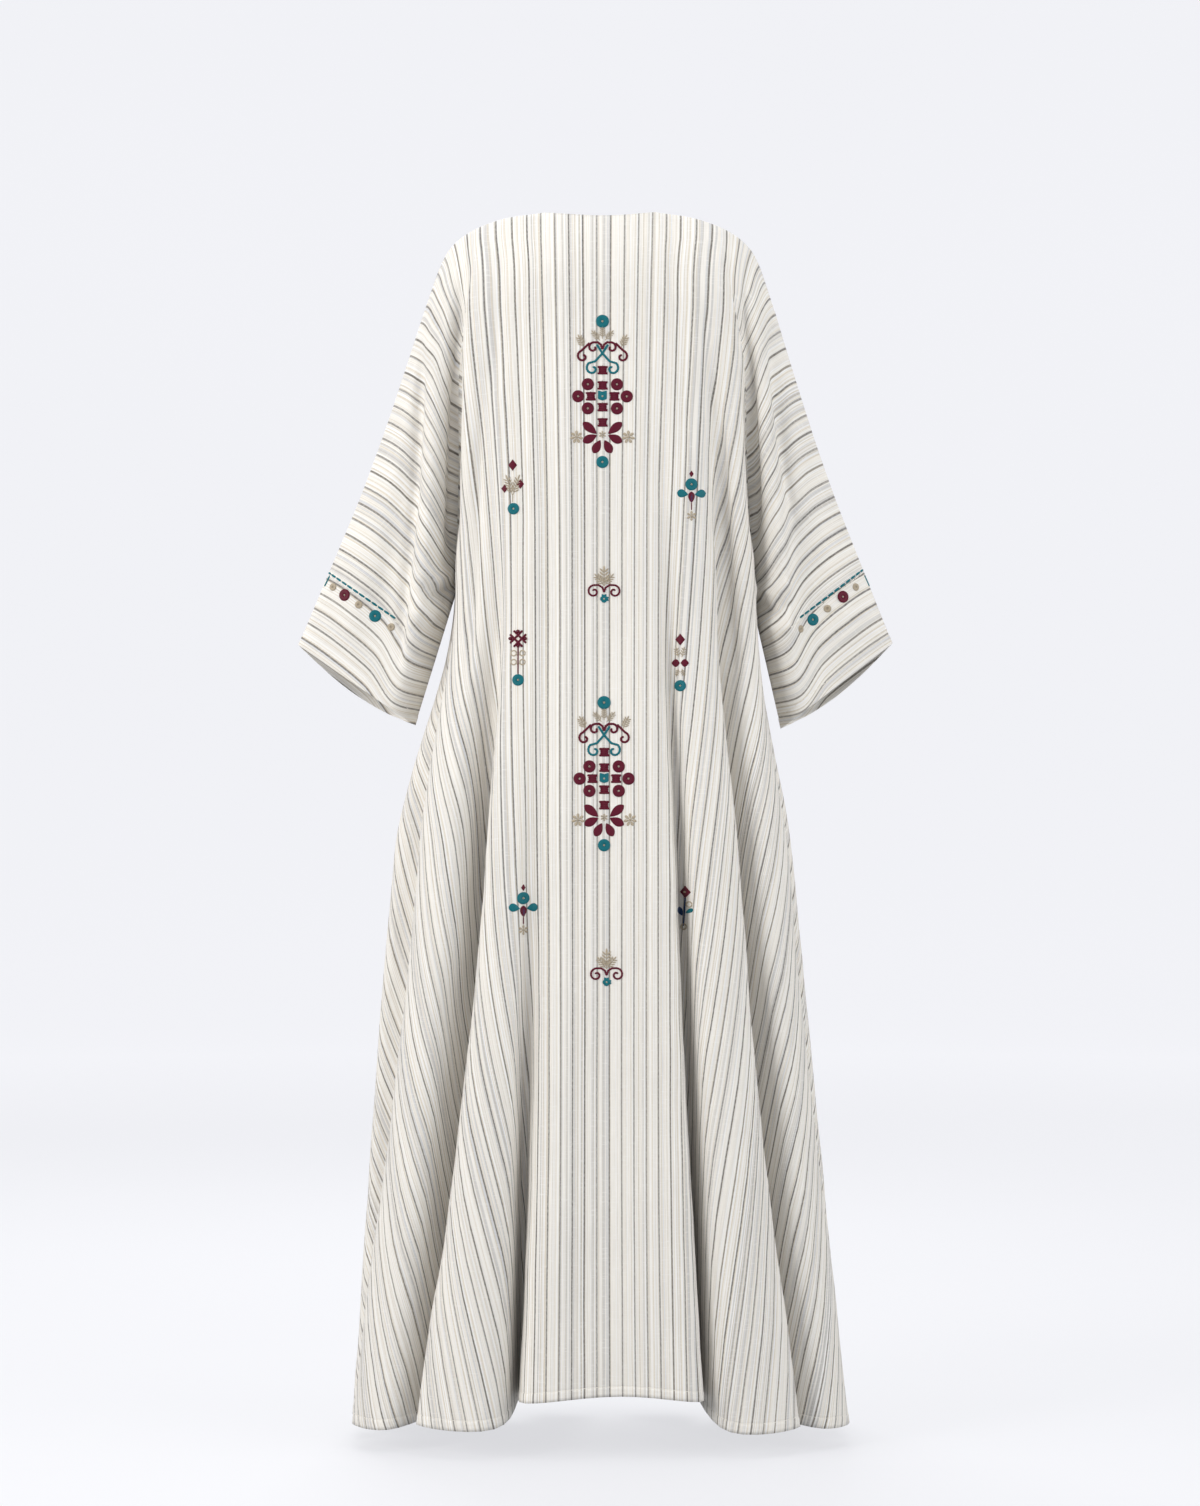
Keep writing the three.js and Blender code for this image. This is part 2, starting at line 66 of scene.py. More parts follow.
# Folds as in the solids: degrees round the section, distance off it and degrees from edge to
# edge (or None), at the five heights; x at the top; height of the hem
BACK_FOLDS = [
    ([44, 18, 0, 0, 0], [0, -10, 0, 8, 8], None, 150, -1509),  # left seam
    ([46, 22, 4, 8, 5.5], [0, -9, -1, 7, 8], None, 146, -1509),  # left seam fold
    ([48, 27, 9, 20, 12], [0, -4, -4, -30, -52], None, 142, -1503),  # left tuck
    ([53, 36, 28, 42, 27], [0, 4, 7, 16, 18], [4, 10, 16, 16, 21], 128, -1510),  # left side fold
    ([59, 48, 48, 55, 42.5], [0, -1, -8, -42, -66], None, 108, -1494),  # left valley
    ([66, 61, 61, 66, 58.5], [0, 1, 3, 8, 14], [8, 10, 10, 9, 22], 86, -1500),  # left fold
    ([74, 72, 72, 74, 72.5], [0, 0, 0, -5, -80], None, 60, -1470),  # left recess
    ([82, 80, 79, 80, 76.5], [0, 0, 0, 1, 7], None, 38, -1469),  # centre fold left
    ([92, 93, 93, 93, 93], [0, 0, 0, 0, 0], None, -6, -1461),  # centre back
    ([101, 104, 107, 107, 109.5], [0, 0, 2, 4, 7], None, -42, -1468),  # centre fold right
    ([108, 109, 112, 112, 113], [0, -1, -8, -24, -80], None, -62, -1470),  # right recess
    ([116, 119, 125, 123, 128], [0, 1, 3, 9, 14], [8, 12, 16, 16, 22], -84, -1505),  # right fold
    ([123, 133, 141, 137, 143], [0, -9, -26, -40, -74], None, -108, -1499),  # right valley
    ([128, 143, 157, 151, 157], [0, 4, 8, 14, 18], [4, 9, 12, 16, 18], -128, -1511),  # right side fold
    ([132, 153, 171, 168, 170], [0, -4, -5, -28, -52], None, -142, -1504),  # right tuck
    ([134, 158, 176, 174, 175], [0, -9, -1, 5, 8], None, -146, -1508),  # right seam fold
    ([136, 162, 180, 180, 180], [0, -10, 0, 6, 8], None, -150, -1508),  # right seam
]
LEFT_FRONT_FOLDS = [
    ([44, 18, 0, 0, 0], [0, -10, 0, 8, 8], None, 150, -1509),  # seam
    ([46, 22, 4, 7, 6.5], [0, -9, -1, 7, 8], None, 146, -1509),  # seam fold
    ([48, 28, 9, 16, 14], [0, -4, -4, -26, -50], None, 142, -1503),  # tuck
    ([53, 38, 27, 31, 29], [0, 3, 6, 13, 17], [4, 10, 14, 15, 19], 128, -1508),  # side fold
    ([59, 51, 45, 46, 44], [0, 0, -10, -38, -76], None, 106, -1499),  # valley
    ([66, 61, 57, 57, 57], [0, 2, 3, 7, 13], [8, 9, 10, 9, 14], 84, -1502),  # fold
    ([74, 72, 69, 69, 70], [0, 0, -4, -20, -64], None, 58, -1487),  # recess
    ([81, 80, 77, 77, 77], [0, 0, 0, 2, 7], None, 34, -1488),  # inner fold
]
RIGHT_FRONT_FOLDS = [
    ([44, 18, 0, 0, 0], [0, -10, 0, 6, 8], None, 150, -1508),  # seam
    ([46, 22, 4, 6, 5.5], [0, -9, -1, 5, 8], None, 146, -1508),  # seam fold
    ([48, 28, 9, 14, 13], [0, -4, -4, -24, -48], None, 142, -1502),  # tuck
    ([53, 38, 26, 28, 26], [0, 3, 5, 12, 17], [4, 10, 13, 14, 17], 128, -1507),  # side fold
    ([59, 52, 43, 42, 40], [0, 0, -12, -40, -72], None, 106, -1498),  # valley
    ([66, 62, 55, 54, 53], [0, 2, 3, 7, 13], [8, 9, 11, 11, 15], 84, -1501),  # fold
    ([74, 73, 69, 67, 66], [0, 0, -3, -22, -68], None, 58, -1486),  # recess
    ([81, 80, 77, 75.5, 74], [0, 0, 0, 2, 7], None, 34, -1487),  # inner fold
]
FRONT_EDGE = {"half_gap": [3, 3, 4, 10, 20], "out": [0, 0, 0, 0, 3], "top": 3, "hem": -1484}

# The seam over the shoulder and down the top of the sleeve, for the wearer's left
TOP_SEAM_Z = [0, -5, -15, -28, -45, -62, -102, -190, -265, -355, -456, -544]
TOP_SEAM_X = [75, 111, 145, 170, 189, 199, 214, 243, 268, 301, 343, 380]
TIP_X, TIP_Z = 199, -62
RIGHT_SEAM_SHARE = 0.94

# Folds of a sleeve: share of the way from top seam to underarm, and depths, at four levels
SLEEVE_FOLDS = [
    ([0.06, 0.25, 0.29, 0.36], [23, 33, 27, 21], [24, 34, 30, 24], 192),  # top plane
    ([0.21, 0.50, 0.60, 0.68], [41, 41, 36, 30], [43, 50, 44, 32], 183),  # step
    ([0.54, 0.73, 0.78, 0.87], [60, 62, 57, 30], [62, 60, 52, 26], 167),  # arm roll
]
CUFFS = {
    1: {"outer": (380, -544), "inner": (233, -645), "front_sag": 14},
    -1: {"outer": (369, -542), "inner": (228, -649), "front_sag": 14},
}
UNDERARM_ROUND = 0.5

# Steps of the fine mesh
STEPS = 6               # between two fold lines of the body
SLEEVE_STEPS = 12
TOP_ROWS = 22
TURN_UP = 12            # depth of the turned hem and cuffs
STITCH_ABOVE_EDGE = 12.6


def rows_between(start, end, step):
    count = max(1, round(abs(end - start) / step))
    return [start + (end - start) * i / count for i in range(count + 1)]


UPPER_ROWS = rows_between(SHOULDER, UNDERARM, 8)
HEM_ROWS = [HEM + d for d in (18, 15, 13.6, STITCH_ABOVE_EDGE, 11.6, 9, 4.5, 0)]
SKIRT_ROWS = rows_between(UNDERARM, HEM + 18, 9)[:-1] + HEM_ROWS
CUFF_SHARES = [i / 22 * 0.88 for i in range(1, 22)] + [0.88 + 0.12 * i / 14 for i in range(15)]


def through(xs, ys, x):
    """A smooth curve through a table with no overshoot; xs may rise or fall."""
    if xs[0] > xs[-1]:
        xs, x = [-v for v in xs], -x
    x = min(max(x, xs[0]), xs[-1])
    rise = [(ys[i + 1] - ys[i]) / (xs[i + 1] - xs[i]) for i in range(len(xs) - 1)]

    def slope(i):
        if i == 0:
            return rise[0]
        if i == len(xs) - 1:
            return rise[-1]
        before, after = rise[i - 1], rise[i]
        return 0 if before * after <= 0 else 2 * before * after / (before + after)

    i = next((k for k in range(len(xs) - 1) if x <= xs[k + 1]), len(xs) - 2)
    width = xs[i + 1] - xs[i]
    t = (x - xs[i]) / width
    t2, t3 = t * t, t ** 3
    return ((2 * t3 - 3 * t2 + 1) * ys[i] + (t3 - 2 * t2 + t) * width * slope(i)
            + (3 * t2 - 2 * t3) * ys[i + 1] + (t3 - t2) * width * slope(i + 1))


def curve_through(knots, before, after, steps):
    """Points of a centripetal Catmull-Rom curve; steps is a number or one for each interval."""
    every = np.array([before, *knots, after], dtype=float)
    points = [every[1][None]]
    for i in range(1, len(every) - 2):
        p0, p1, p2, p3 = every[i - 1:i + 3]
        d0, d1, d2 = (math.sqrt(max(np.linalg.norm(b - a), 1e-4))
                      for a, b in ((p0, p1), (p1, p2), (p2, p3)))
        leave = FULLNESS * d1 * ((p1 - p0) / d0 - (p2 - p0) / (d0 + d1) + (p2 - p1) / d1)
        arrive = FULLNESS * d1 * ((p2 - p1) / d1 - (p3 - p1) / (d1 + d2) + (p3 - p2) / d2)
        count = steps if isinstance(steps, int) else steps[i - 1]
        t = (np.arange(1, count + 1) / count)[:, None]
        points.append((2 * t ** 3 - 3 * t ** 2 + 1) * p1 + (t ** 3 - 2 * t ** 2 + t) * leave
                      + (3 * t ** 2 - 2 * t ** 3) * p2 + (t ** 3 - t ** 2) * arrive)
    return np.concatenate(points)


def beyond(end, nearer):
    return 2 * np.asarray(end, float) - nearer


def mirrored(end, nearer):
    return np.array([nearer[0], 2 * end[1] - nearer[1], nearer[2]])


def body_size(key, z):
    return through(LEVELS, BODY[key], z)


def body_point(degrees, out, z, facing):
    c = math.cos(math.radians(degrees))
    s = max(math.sin(math.radians(degrees)), 0)
    half = body_size("left" if c >= 0 else "right", z)
    depth = body_size("back" if facing > 0 else "front", z)
    x, y = abs(c) ** (2 / ROUNDNESS), s ** (2 / ROUNDNESS)
    nx, ny = x ** (ROUNDNESS - 1) / half, y ** (ROUNDNESS - 1) / depth
    length = math.hypot(nx, ny)
    px = math.copysign(1, c) * (half * x + out * nx / length)
    return [px, facing * max(depth * y + out * ny / length, SEAM_GAP / 2), z]


def row_height(row, degrees, hem):
    if row < THIGH:
        return THIGH + (row - THIGH) / (HEM - THIGH) * (hem - THIGH)
    drop = through([SHOULDER, UNDERARM, THIGH], [0, RIGHT_UNDERARM_DROP, 0], row)
    return row - drop * (1 - math.cos(math.radians(degrees))) / 2


def fold_knots(fold, row, facing, side):
    at, out, wide, _, hem = fold
    middle = through(LEVELS, at, row)
    half = through(LEVELS, wide, row) / 2 if wide else 0
    knots = []
    for own in ([middle - half, middle + half] if wide else [middle]):
        degrees = own if side > 0 else 180 - own
        point = body_point(degrees, through(LEVELS, out, row), row, facing)
        point[2] = row_height(row, degrees, hem)
        knots.append(point)
    return knots


def fold_tops(fold, side):
    _, _, wide, top, _ = fold
    return [x * side for x in ([top + FOLD_EDGE_AT_TOP, top - FOLD_EDGE_AT_TOP] if wide else [top])]


def front_edge_point(row, side):
    depth = body_size("front", row) + through(LEVELS, FRONT_EDGE["out"], row)
    height = row_height(row, 90, FRONT_EDGE["hem"])
    return [side * through(LEVELS, FRONT_EDGE["half_gap"], row), -depth, height]


def seam_x(z, side):
    x = through(TOP_SEAM_Z, TOP_SEAM_X, z)
    if side > 0 or x < TIP_X:
        return side * x
    return -(TIP_X + (x - TIP_X) * RIGHT_SEAM_SHARE)


def shoulder_z(x):
    return through(TOP_SEAM_X, TOP_SEAM_Z, abs(x))


def top_point(x, facing):
    if abs(x) >= NECK_HALF:
        return np.array([x, facing * SEAM_GAP / 2, shoulder_z(x)])
    neck = BACK_NECK if facing > 0 else FRONT_NECK
    flat = math.sqrt(1 - (x / NECK_HALF) ** 2)
    return np.array([x, facing * max(neck["reach"] * flat, SEAM_GAP / 2),
                     -neck["drop"] * flat ** neck["power"]])


def over_shoulder(top_x, foot, facing):
    start = top_point(top_x, facing)
    first = math.radians(NECK_START * math.sqrt(max(0, 1 - (top_x / NECK_HALF) ** 2)))
    line = []
    for k in range(TOP_ROWS):
        angle = first + (math.pi / 2 - first) * k / TOP_ROWS
        outward = (math.sin(angle) - math.sin(first)) / (1 - math.sin(first))
        down = (math.cos(first) - math.cos(angle)) / math.cos(first)
        line.append([start[0] + (foot[0] - start[0]) * down,
                     start[1] + (foot[1] - start[1]) * outward,
                     start[2] + (foot[2] - start[2]) * down])
    return line


def sleeve_row(level, outer, inner, facing, sag, closing):
    outer, inner = np.array(outer, float), np.array(inner, float)
    knots = [outer]
    for across, back, front, _ in SLEEVE_FOLDS:
        share = through([0, 1, 2, 3], across, level)
        point = outer + (inner - outer) * share
        point[1] = facing * through([0, 1, 2, 3], back if facing > 0 else front, level)
        point[2] -= sag * math.sin(math.pi * share)
        knots.append(point)
    knots.append(inner)
    end = beyond(inner, knots[-2]) * (1 - closing) + mirrored(inner, knots[-2]) * closing
    return curve_through(knots, mirrored(outer, knots[1]), end, SLEEVE_STEPS)


def sleeve_level(row):
    return through(LEVELS[:3], [0, 1, 2], row)


def spread(values, steps):
    """The values with steps in between, as curve_through spreads its points."""
    counts = [steps] * (len(values) - 1) if isinstance(steps, int) else steps
    out = [values[0]]
    for a, b, count in zip(values, values[1:], counts):
        out += [a + (b - a) * k / count for k in range(1, count + 1)]
    return out


class Panel:
    """One piece of cloth: a grid of points for the body and one for each of its sleeve halves."""

    def __init__(self, name, folds, facing, sleeve_sides, side):
        self.name, self.facing, self.side = name, facing, side
        self.is_front = len(sleeve_sides) == 1
        gap = facing * SEAM_GAP / 2
        tops = [x for fold in folds for x in fold_tops(fold, side if self.is_front else 1)]
        steps = [STEPS] * (len(tops) - 1)
        if self.is_front:
            tops.append(FRONT_EDGE["top"] * side)
            steps.append(3 * STEPS)
        column_tops = spread(tops, steps)

        def body_row(row):
            knots = [k for fold in folds for k in fold_knots(fold, row, facing, side)]
            if self.is_front:
                knots.append(front_edge_point(row, side))
            hangs = row <= UNDERARM
            if hangs:
                knots[0][1] = gap
                if not self.is_front:
                    knots[-1][1] = gap
            knots = [np.array(k, float) for k in knots]
            before = mirrored(knots[0], knots[1]) if hangs else beyond(knots[0], knots[1])
            closed = hangs and not self.is_front
            after = mirrored(knots[-1], knots[-2]) if closed else beyond(knots[-1], knots[-2])
            return curve_through(knots, before, after, steps)

        upper = np.array([body_row(row) for row in UPPER_ROWS])
        top = np.array([over_shoulder(x, upper[0][c], facing) for c, x in enumerate(column_tops)])
        skirt = np.array([body_row(row) for row in SKIRT_ROWS[1:]])
        self.body = np.concatenate([top.transpose(1, 0, 2), upper, skirt])
        self.sleeves = {}
        for sleeve in sleeve_sides:
            column = 0 if self.is_front or sleeve > 0 else -1
            self.sleeves[sleeve] = self.make_sleeve(sleeve, upper, column, abs(tops[0]), gap)

    def make_sleeve(self, side, upper, column, last_top, gap):
        cuff = CUFFS[side]
        rows = []
        for z, body_row in zip(UPPER_ROWS, upper):
            inner = body_row[column]
            outer = [seam_x(inner[2], side), gap, inner[2]]
            closing = UNDERARM_ROUND * max(0, sleeve_level(z) - 1)
            rows.append(sleeve_row(sleeve_level(z), outer, inner, self.facing, 0, closing))
        tops = spread([TIP_X] + [fold[3] for fold in SLEEVE_FOLDS] + [last_top], SLEEVE_STEPS)
        top = np.array([over_shoulder(x * side, rows[0][c], self.facing) for c, x in enumerate(tops)])
        for point in top[0]:
            point[0] = seam_x(point[2], side)
        start_outer, start_inner = rows[-1][0], rows[-1][-1]
        lower = []
        for share in CUFF_SHARES:
            z = start_outer[2] + (cuff["outer"][1] - start_outer[2]) * share
            outer = [seam_x(z, side), gap, z]
            inner = [start_inner[0] + (side * cuff["inner"][0] - start_inner[0]) * share, gap,
                     start_inner[2] + (cuff["inner"][1] - start_inner[2]) * share]
            sag = cuff["front_sag"] * share if self.facing < 0 else 0
            lower.append(sleeve_row(2 + share, outer, inner, self.facing, sag, UNDERARM_ROUND))
        return np.concatenate([top.transpose(1, 0, 2), np.array(rows), np.array(lower)])


PANELS = [
    Panel("back", BACK_FOLDS, 1, [1, -1], 1),
    Panel("front_left", LEFT_FRONT_FOLDS, -1, [1], 1),
    Panel("front_right", RIGHT_FRONT_FOLDS, -1, [-1], -1),
]

# The run of the stripes, counted from the centre back. Distance between two dark stripes by height
# on the body, and along the top seam; past SPREAD_FROM they lie wider apart near the shoulders.
STRIPE_START = 0.76
STRIPE_Z = [0, -200, -420, -1100, -1500]
STRIPE_STEP = [17.6, 16.4, 15.4, 15.0, 15.8]
SPREAD_FROM = 100
SPREAD_Z, SPREAD = [-450, -130, 0], [1.0, 1.14, 1.15]
SEAM_RUN = [0, 100, 130, 220, 480, 620, 760]
SEAM_STRIPE_STEP = [17.6, 17.6, 20.3, 22.0, 21.8, 20.4, 20.0]

# Fall of the stripes on a sleeve: degrees below level of the line from a point to where its
# stripe leaves the top seam, by height and by share of the way across the sleeve
FALL_ACROSS = [0, 0.25, 0.55, 0.8, 1]
FALL = {
    0: [80, 82, 84, 86, 88],
    -60: [60, 66, 72, 76, 78],
    -100: [40, 55, 66, 72, 75],
    -130: [31, 44, 57, 66, 72],
    -200: [27, 33, 44, 58, 62],
    -350: [27, 31, 39, 50, 56],
    -480: [28, 32, 37, 46, 48],
    -560: [32, 34, 37, 45, 42],
    -650: [34, 35, 36, 41, 36.6],
}
SHARED_END, SHARED_FADE = -175, 70   # below this height a sleeve's stripes leave the body's count
THREAD_SLIP = 6           # how far the weft's slubs slip from one stripe to the next


def along(points, axis):
    """Distance walked along each line of a grid of points."""
    steps = np.linalg.norm(np.diff(points, axis=axis), axis=2)
    zero = np.zeros_like(np.take(steps, [0], axis=axis))
    return np.cumsum(np.concatenate([zero, steps], axis=axis), axis=axis)


def seam_table(side):
    """Points of the top seam's line from the centre outwards, with the stripes counted along it."""
    inner = [(x, shoulder_z(x)) for x in np.arange(NECK_HALF, TIP_X, 1.0)]
    outer = [(abs(seam_x(z, side)), z) for z in np.arange(TIP_Z, -545.0, -1.0)]
    line = np.array([(0.0, 0.0), *inner, *outer])
    lean = (line[-1] - line[-40]) / np.linalg.norm(line[-1] - line[-40])
    line = np.concatenate([line, line[-1] + lean * np.arange(1, 200)[:, None]])
    steps = np.linalg.norm(np.diff(line, axis=0), axis=1)
    run = np.concatenate([[0], np.cumsum(steps)])
    middle = (run[1:] + run[:-1]) / 2
    count = np.concatenate([[0], np.cumsum(steps / np.interp(middle, SEAM_RUN, SEAM_STRIPE_STEP))])
    return line, count


def body_grain(panel):
    """Stripe number across and distance down, for each point of the body."""
    across = along(panel.body, 1)
    if panel.is_front:
        across = across[:, -1:] - across
        sign = np.full_like(across, panel.side)
    else:
        at_zero = [np.interp(0, -row[:, 0], run) for row, run in zip(panel.body, across)]
        across = np.array(at_zero)[:, None] - across
        sign = np.sign(across)
    flatness = np.interp(panel.body[:, :, 2], [-250, -40], [1, 0])
    across = np.abs(across) * flatness + np.abs(panel.body[:, :, 0]) * (1 - flatness)
    step = np.vectorize(lambda z: through(STRIPE_Z, STRIPE_STEP, z))(panel.body[:, :, 2])
    wider = np.interp(panel.body[:, :, 2], SPREAD_Z, SPREAD)
    count = (np.minimum(across, SPREAD_FROM) + np.maximum(across - SPREAD_FROM, 0) / wider) / step
    return np.stack([STRIPE_START + sign * count, -panel.body[:, :, 2] * MM], axis=2)


def sleeve_grain(panel, side, body_count):
    """The same for a sleeve; body_count is the body's along the line that they share."""
    grid = panel.sleeves[side]
    seam, count = seam_table(side)
    x, z = np.abs(grid[:, :, 0]), grid[:, :, 2]
    share = (x[:, :1] - x) / np.maximum(x[:, :1] - x[:, -1:], 1e-6)
    share = np.clip(share, 0, 1)
    heights = sorted(FALL)
    number = np.zeros_like(x)
    for r in range(len(grid)):
        for c in range(grid.shape[1]):
            angles = [through(FALL_ACROSS, FALL[h], share[r, c]) for h in heights]
            slope = math.tan(math.radians(through(heights, angles, z[r, c])))
            above = seam[:, 1] - (z[r, c] + (seam[:, 0] - x[r, c]) * slope)
            last = np.nonzero(above > 0)[0][-1]
            following = min(last + 1, len(seam) - 1)
            part = above[last] / max(above[last] - above[following], 1e-6)
            number[r, c] = count[last] + (count[following] - count[last]) * min(part, 1)
    shared = side * (body_count - STRIPE_START)
    rows = np.minimum(np.arange(len(grid)), len(shared) - 1)
    gap = (shared[rows] - number[:, -1])[:, None]
    near_top = np.clip((z[:, -1:] - SHARED_END) / SHARED_FADE, 0, 1)
    number += gap * share ** 2 * near_top
    flat = np.diff(grid, axis=1)
    run = np.cumsum(np.hypot(flat[:, :, 0], flat[:, :, 2]), axis=1)
    run = np.concatenate([np.zeros((len(grid), 1)), run], axis=1)
    return np.stack([STRIPE_START + side * number, (run + THREAD_SLIP * number) * MM], axis=2)


# Creases listed by the way the panel faces: points (x, z) along the crease, half width and
# depth in millimetres; a trough has a negative depth. They fade out at both ends.
BACK_CREASES = [
    ([(118, -30), (126, -120), (133, -250)], 11, -4.2),
    ([(92, -24), (97, -160), (98, -330), (92, -470)], 13, -3.6),
    ([(66, -60), (68, -220), (60, -420), (54, -620)], 15, -3.2),
    ([(40, -180), (41, -400), (34, -700), (28, -900)], 16, 1.6),
    ([(-28, -140), (-30, -360), (-34, -640)], 15, -1.8),
    ([(-60, -40), (-66, -210), (-72, -400)], 13, -3.4),
    ([(-90, -30), (-100, -170), (-112, -330)], 12, -4.2),
    ([(-122, -50), (-134, -180), (-139, -280)], 10, -3.8),
    ([(10, -560), (6, -800), (0, -1080)], 20, 2.0),
    ([(-52, -700), (-62, -960), (-70, -1250)], 18, -4.0),
    ([(54, -760), (50, -1000), (52, -1250)], 15, -4.6),
    ([(18, -980), (20, -1220), (22, -1440)], 20, -4.4),
    ([(-30, -1150), (-36, -1320), (-40, -1460)], 18, 2.6),
    ([(178, -900), (190, -1150), (196, -1380)], 18, -4.0),
    ([(150, -1050), (156, -1250), (160, -1450)], 14, 2.6),
    ([(-190, -900), (-206, -1150), (-214, -1400)], 17, -4.0),
    ([(-160, -1020), (-172, -1240), (-180, -1450)], 15, 2.8),
    ([(238, -800), (262, -1080), (272, -1350)], 14, -3.4),
    ([(-236, -820), (-262, -1100), (-274, -1380)], 13, -3.2),
    ([(160, -52), (170, -110), (182, -190)], 8, -4.6),
    ([(176, -62), (180, -140), (181, -260), (184, -380), (190, -460)], 6, -11.0),
    ([(163, -120), (164, -260), (166, -400)], 8, 3.0),
    ([(150, -230), (151, -350), (156, -480), (168, -620)], 7, -7.5),
    ([(190, -70), (204, -130), (222, -210)], 9, 2.4),
    ([(-160, -56), (-168, -120), (-184, -200)], 8, -4.4),
    ([(-180, -70), (-187, -170), (-191, -300), (-195, -440)], 6, -11.0),
    ([(-170, -120), (-172, -280), (-177, -430)], 8, 3.2),
    ([(-151, -230), (-154, -350), (-160, -480), (-172, -620)], 7, -8.0),
    ([(222, -140), (226, -260), (232, -360), (244, -470), (252, -570), (256, -610)], 6, -6.5),
    ([(216, -190), (213, -300), (216, -400), (228, -500), (238, -590)], 12, 3.0),
    ([(-212, -120), (-218, -230), (-232, -330), (-248, -420)], 6, -4.6),
    ([(-202, -190), (-206, -300), (-222, -400), (-236, -500)], 12, 2.8),
    ([(268, -330), (262, -420), (276, -520)], 14, -2.6),
    ([(300, -380), (306, -470), (322, -560)], 15, 2.2),
    ([(-262, -300), (-268, -400), (-286, -500)], 14, -2.6),
    ([(-300, -400), (-304, -480), (-318, -560)], 15, 2.2),
    ([(180, -452), (204, -462), (232, -452)], 7, 5.0),
    ([(182, -474), (206, -482), (232, -474)], 6, -7.0),
    ([(188, -498), (212, -506), (236, -500)], 7, 4.0),
    ([(198, -520), (220, -528), (240, -524)], 6, -3.4),
    ([(-190, -470), (-214, -478), (-240, -470)], 7, 4.6),
    ([(-194, -494), (-218, -501), (-242, -494)], 6, -6.4),
    ([(-200, -518), (-222, -525), (-244, -520)], 7, 3.6),
]
FRONT_CREASES = [
    ([(118, -40), (126, -140), (130, -260)], 11, -2.6),
    ([(88, -110), (94, -260), (96, -430)], 13, -2.4),
    ([(52, -150), (56, -360), (52, -600)], 14, -2.0),
    ([(30, -560), (36, -850), (44, -1150)], 16, 2.0),
    ([(60, -760), (72, -1050), (84, -1350)], 15, -2.6),
    ([(180, -900), (200, -1160), (214, -1400)], 16, -3.6),
    ([(228, -820), (250, -1080), (262, -1380)], 14, -3.0),
    ([(-112, -40), (-122, -150), (-128, -270)], 11, -2.6),
    ([(-84, -120), (-92, -280), (-94, -450)], 13, -2.2),
    ([(-48, -170), (-54, -380), (-50, -640)], 14, -2.0),
    ([(-34, -600), (-40, -880), (-48, -1180)], 16, 2.0),
    ([(-66, -800), (-80, -1100), (-92, -1380)], 15, -2.6),
    ([(-186, -920), (-206, -1170), (-218, -1400)], 16, -3.6),
    ([(226, -160), (226, -280), (232, -400), (248, -540)], 8, -4.2),
    ([(262, -300), (268, -420), (286, -540)], 14, 2.6),
    ([(-214, -150), (-222, -280), (-234, -410), (-252, -540)], 8, -4.2),
    ([(-262, -310), (-270, -430), (-288, -540)], 14, 2.6),
    ([(188, -474), (206, -480), (226, -476)], 5, -3.2),
    ([(-202, -498), (-222, -503), (-240, -499)], 5, -3.2),
]
CREASES = {1: BACK_CREASES, -1: FRONT_CREASES}
CREASE_FADE = 0.22        # share of a crease's length over which it fades at each end
RIPPLE = {"height": 0.9, "size": 60}
SEAM_FADE = 12            # creases and ripple die out this close to a side seam
DOUBLE_CLOTH, STITCH_GROOVE = 0.55, 0.45


def crease_push(x, z, facing):
    """How far each point is pushed out by the creases and by a faint uneven ripple."""
    push = np.zeros_like(x)
    for route, half_width, depth in CREASES[facing]:
        route = np.array(route, float)
        lengths = np.linalg.norm(np.diff(route, axis=0), axis=1)
        total, walked = lengths.sum(), 0.0
        best = np.full_like(x, 1e9)
        place = np.zeros_like(x)
        for a, b, length in zip(route, route[1:], lengths):
            t = np.clip(((x - a[0]) * (b[0] - a[0]) + (z - a[1]) * (b[1] - a[1])) / length ** 2, 0, 1)
            distance = np.hypot(x - a[0] - t * (b[0] - a[0]), z - a[1] - t * (b[1] - a[1]))
            nearer = distance < best
            best = np.where(nearer, distance, best)
            place = np.where(nearer, (walked + t * length) / total, place)
            walked += length
        fade = np.clip(np.minimum(place, 1 - place) / CREASE_FADE, 0, 1)
        push += depth * np.exp(-(best / half_width) ** 2) * fade * fade * (3 - 2 * fade)
    return push


def cuff_distance(x, z, side):
    """Distance of a sleeve's point above its cuff's edge, in the flat of the sleeve."""
    (ox, oz), (ix, iz) = CUFFS[side]["outer"], CUFFS[side]["inner"]
    ox, ix = ox * side, ix * side
    length = math.hypot(ix - ox, iz - oz)
    nx, nz = -(iz - oz) / length, (ix - ox) / length
    return (x - ox) * nx + (z - oz) * nz


def turned_edge(distance):
    """Relief of a turned and stitched edge, by distance from it."""
    double = DOUBLE_CLOTH / (1 + np.exp((distance - TURN_UP) / 0.5))
    groove = -STITCH_GROOVE * np.exp(-((distance - STITCH_ABOVE_EDGE) / 0.8) ** 2)
    return double + groove


